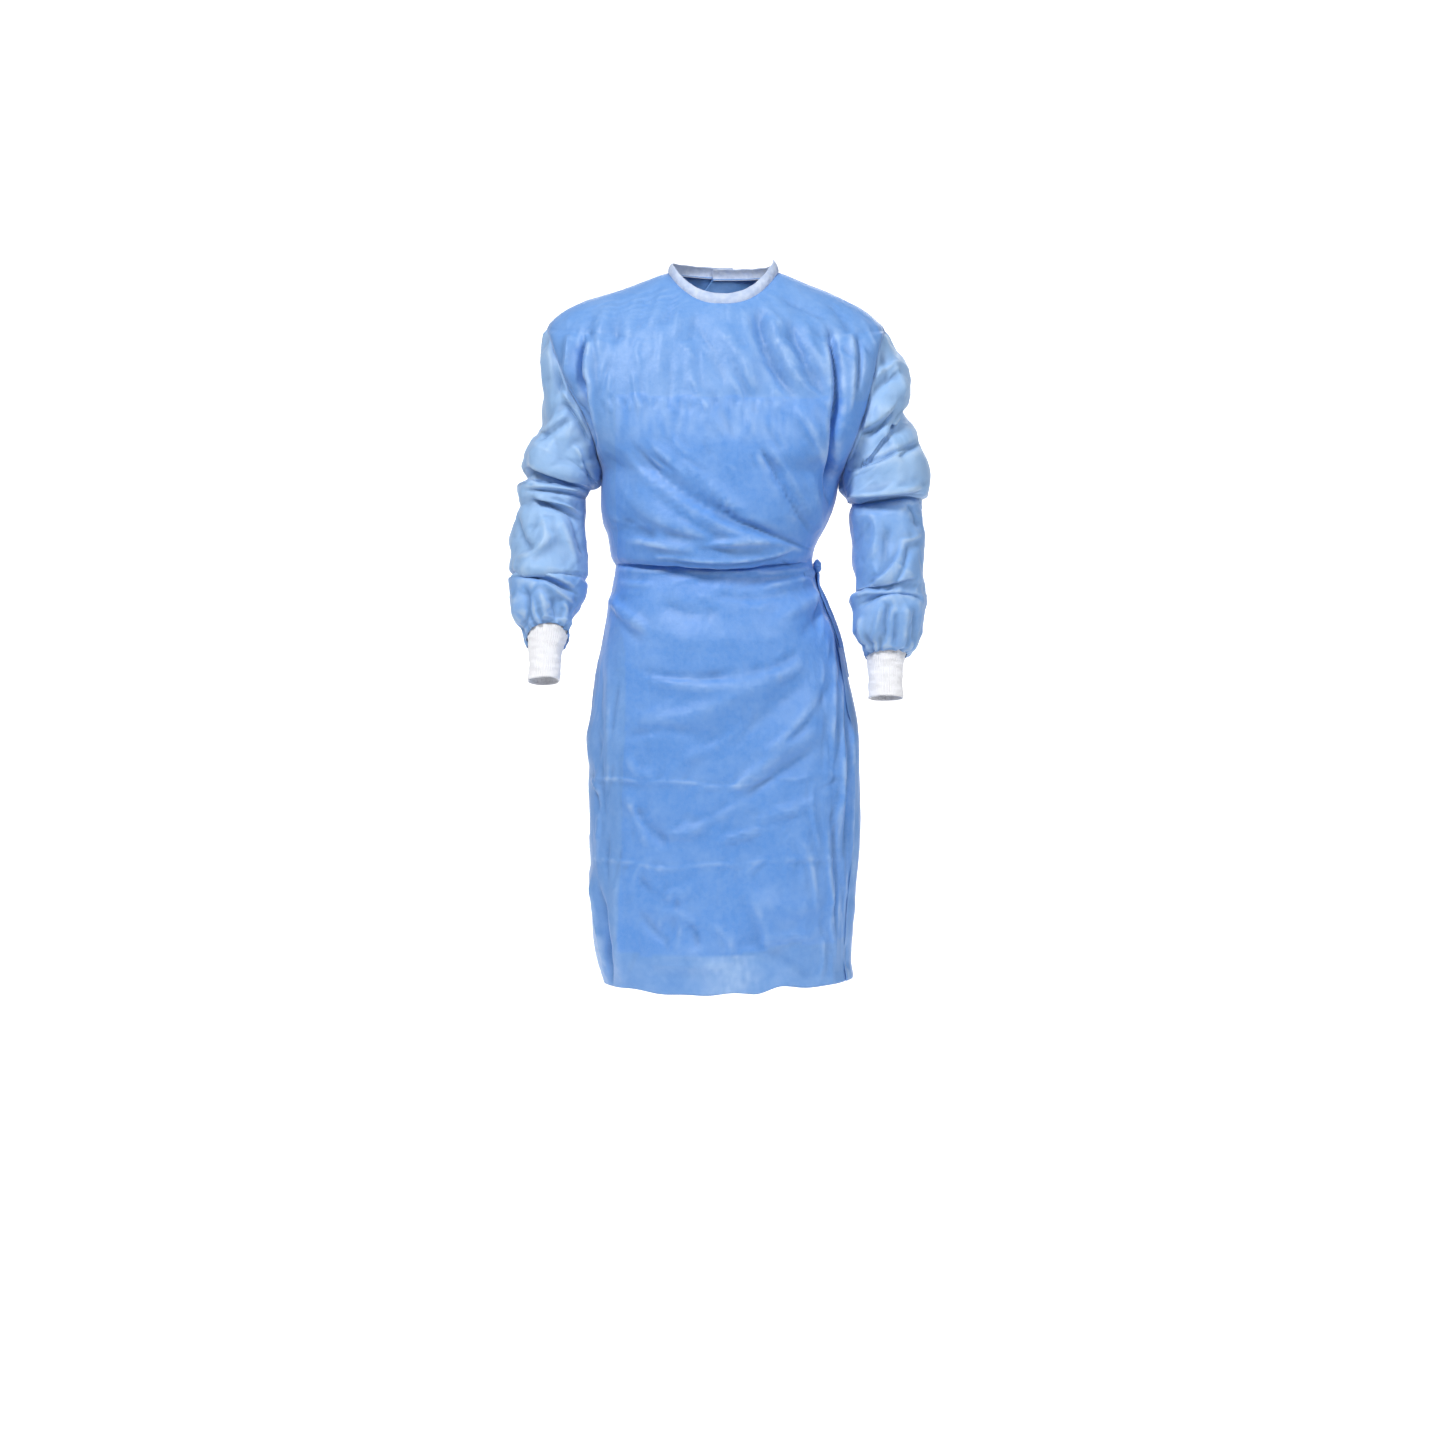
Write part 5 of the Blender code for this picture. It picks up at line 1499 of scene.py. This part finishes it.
def pressed_web(name, plain, deep, pale, roughness, sheen):
    """The pressed web in one blue, a deeper one for two layers, and a paler one for random cloudiness, painted
    backlight and painted highlight.
    """
    material = plain_material(name, plain, roughness)
    links, shader = material.node_tree.links, shader_of(material)
    place = node(material, "ShaderNodeTexCoord").outputs["Object"]
    layer = node(material, "ShaderNodeAttribute", attribute_name="second_layer").outputs["Fac"]
    backlight_and_highlight = node(material, "ShaderNodeAttribute", attribute_name="backlight_and_highlight").outputs["Fac"]
    colour = mix_colour(material, layer, plain, deep)
    # The hem's single layer is painted paler as painted backlight, and the second layer's top gets painted
    # highlight streaks.
    colour = mix_colour(material, backlight_and_highlight, colour, pale)
    bend = node(material, "ShaderNodeAttribute", attribute_name="bend").outputs["Fac"]
    patchy = noise_of(material, place, 30, 4)
    # Crests are painted paler, partly for creased fibres and partly as painted highlight.
    crest = remap(material, bend, 0.06, 1.0, 0.0, 0.62)
    crest_whitening_and_highlight = node(material, "ShaderNodeMath", operation="MULTIPLY")
    links.new(crest, crest_whitening_and_highlight.inputs[0])
    links.new(remap(material, patchy, 0.4, 0.62, 0.08, 1.0), crest_whitening_and_highlight.inputs[1])
    colour = mix_colour(material, crest_whitening_and_highlight.outputs[0], colour, pale)
    # Furrows are painted darker: painted shade.
    furrow = remap(material, bend, -0.06, -1.0, 0.0, 0.6)
    colour = mix_colour(material, furrow, colour, tuple(0.62 * part for part in deep))
    cloud = noise_of(material, place, 140, 4)
    fleck = noise_of(material, place, 900, 2)
    lighter = remap(material, cloud, 0.3, 0.7, 0.0, 0.1)
    colour = mix_colour(material, lighter, colour, pale)
    blotch = noise_of(material, place, 21, 4, 0.6)
    colour = mix_colour(material, remap(material, blotch, 0.45, 0.66, 0.0, 0.13), colour, pale)
    speck = remap(material, fleck, 0.55, 0.8, 0.0, 0.14)
    colour = mix_colour(material, speck, colour, pale)
    links.new(colour, shader.inputs["Base Color"])
    rougher = remap(material, cloud, 0.3, 0.7, roughness - 0.05, roughness + 0.06)
    links.new(rougher, shader.inputs["Roughness"])
    shader.inputs["Sheen Weight"].default_value = sheen
    shader.inputs["Sheen Roughness"].default_value = 0.32
    shader.inputs["Sheen Tint"].default_value = (0.9, 0.95, 1, 1)
    shader.inputs["Specular IOR Level"].default_value = 0.42
    crumple = noise_of(material, place, 38, 5, 0.6)
    ridges = node(material, "ShaderNodeTexNoise", noise_type="RIDGED_MULTIFRACTAL")
    for socket, value in (("Scale", 26), ("Detail", 3), ("Roughness", 0.5)):
        ridges.inputs[socket].default_value = value
    links.new(place, ridges.inputs["Vector"])
    tall = node(material, "ShaderNodeMapping")
    tall.inputs["Scale"].default_value = (1, 1, 0.3)
    links.new(place, tall.inputs["Vector"])
    streaks = node(material, "ShaderNodeTexNoise", noise_type="RIDGED_MULTIFRACTAL")
    for socket, value in (("Scale", 56), ("Detail", 2), ("Roughness", 0.45), ("Distortion", 0.3)):
        streaks.inputs[socket].default_value = value
    links.new(tall.outputs["Vector"], streaks.inputs["Vector"])
    bumped(
        material,
        [
            (ridges.outputs["Fac"], 0.7, 0.002), (streaks.outputs["Fac"], 0.75, 0.002),
            (crumple, 0.6, 0.0024), (fleck, 0.3, 0.0003),
        ],
    )
    return material


BODY_BLUE, DEEP_BLUE, PALE_BLUE = (0.13, 0.305, 0.675), (0.106, 0.29, 0.715), (0.42, 0.6, 0.88)
# The sleeves are of the body's cloth; their blues are painted lighter than the body's as painted light.
SLEEVE_PAINTED_LIGHTER_BLUE, SLEEVE_DEEP = (0.275, 0.468, 0.77), (0.155, 0.345, 0.73)
materials = {
    "body_cloth": pressed_web("body_cloth", BODY_BLUE, DEEP_BLUE, PALE_BLUE, 0.48, 0.24),
    "sleeve_cloth": pressed_web(
        "sleeve_cloth", SLEEVE_PAINTED_LIGHTER_BLUE, SLEEVE_DEEP, (0.46, 0.61, 0.8), 0.5, 0.26
    ),
}

# %% [markdown]
# The cuffs' ribs are in the mesh, but each rib is itself two columns of little stitches. Rings of rounded
# bumps along the arm, broken up by noise, stand for them. The binding is a matt pale tape with a fine
# crossed weave.

# %% Knit and tape
knit = plain_material("knit_cuff", (0.9, 0.9, 0.93), 0.85)
place = node(knit, "ShaderNodeTexCoord").outputs["Object"]
rows = node(knit, "ShaderNodeTexWave", wave_type="BANDS", bands_direction="Z", wave_profile="SIN")
for socket, value in (("Scale", 190), ("Distortion", 1.6), ("Detail", 2), ("Detail Scale", 3)):
    rows.inputs[socket].default_value = value
knit.node_tree.links.new(place, rows.inputs["Vector"])
fuzz = noise_of(knit, place, 620, 4, 0.7)
tone = mix_colour(knit, remap(knit, fuzz, 0.35, 0.75, 0, 0.35), (0.9, 0.9, 0.93), (0.74, 0.75, 0.8))
knit.node_tree.links.new(tone, shader_of(knit).inputs["Base Color"])
bumped(knit, [(rows.outputs["Fac"], 0.35, 0.0005), (fuzz, 0.5, 0.0005)])
shader_of(knit).inputs["Sheen Weight"].default_value = 0.25
materials["knit_cuff"] = knit

tape = plain_material("neck_tape", (0.46, 0.55, 0.75), 0.7)
place = node(tape, "ShaderNodeTexCoord").outputs["Object"]
weave = noise_of(tape, place, 700, 3, 0.6)
folds = noise_of(tape, place, 90, 4, 0.6)
tone = mix_colour(tape, remap(tape, folds, 0.3, 0.7, 0, 1), (0.4, 0.5, 0.72), (0.58, 0.66, 0.82))
tape.node_tree.links.new(tone, shader_of(tape).inputs["Base Color"])
bumped(tape, [(folds, 0.4, 0.0016), (weave, 0.3, 0.0004)])
shader_of(tape).inputs["Sheen Weight"].default_value = 0.3
materials["neck_tape"] = tape

for name, piece in pieces.items():
    cuff = name.startswith("cuff")
    kind = "knit_cuff" if cuff else "neck_tape" if name == "neck_binding" else "body_cloth"
    kind = "sleeve_cloth" if name.startswith("sleeve") else kind
    piece.data.materials.append(materials[kind])
print(len(materials), "materials")

# %% [markdown]
# ## What each piece was cut from
# The sizes are those of the flat cloth before it was sewn. Where the cut is not a rectangle its area says so.

CUTS = {
    "front_panel": ((0.66, 1.14), "hung", 0.61),
    "back_panel_right": ((0.68, 1.14), "hung", 0.62),
    "back_panel_left": ((0.42, 1.14), "hung", 0.36),
    "sleeve_right": ((0.46, 0.50), "gathered", 0.17),
    "sleeve_left": ((0.46, 0.52), "gathered", 0.19),
    "cuff_right": ((0.17, 0.065), "stretched", None),
    "cuff_left": ((0.17, 0.067), "stretched", None),
    "neck_binding": ((0.60, 0.0155), "hung", None),
    "waist_tie_front": ((0.0145, 0.045), "hung", None),
    "waist_tie_outer": ((0.0155, 0.07), "hung", None),
    "tie_end_front": ((0.015, 0.112), "hung", None),
    "tie_end_rear": ((0.0155, 0.155), "hung", None),
}
for name, (flat, held, area) in CUTS.items():
    ring = name in closed_pieces or name.startswith("cuff")
    print(name, "measures %.4f square metres" % measured_area(cloth_points[name], ring))
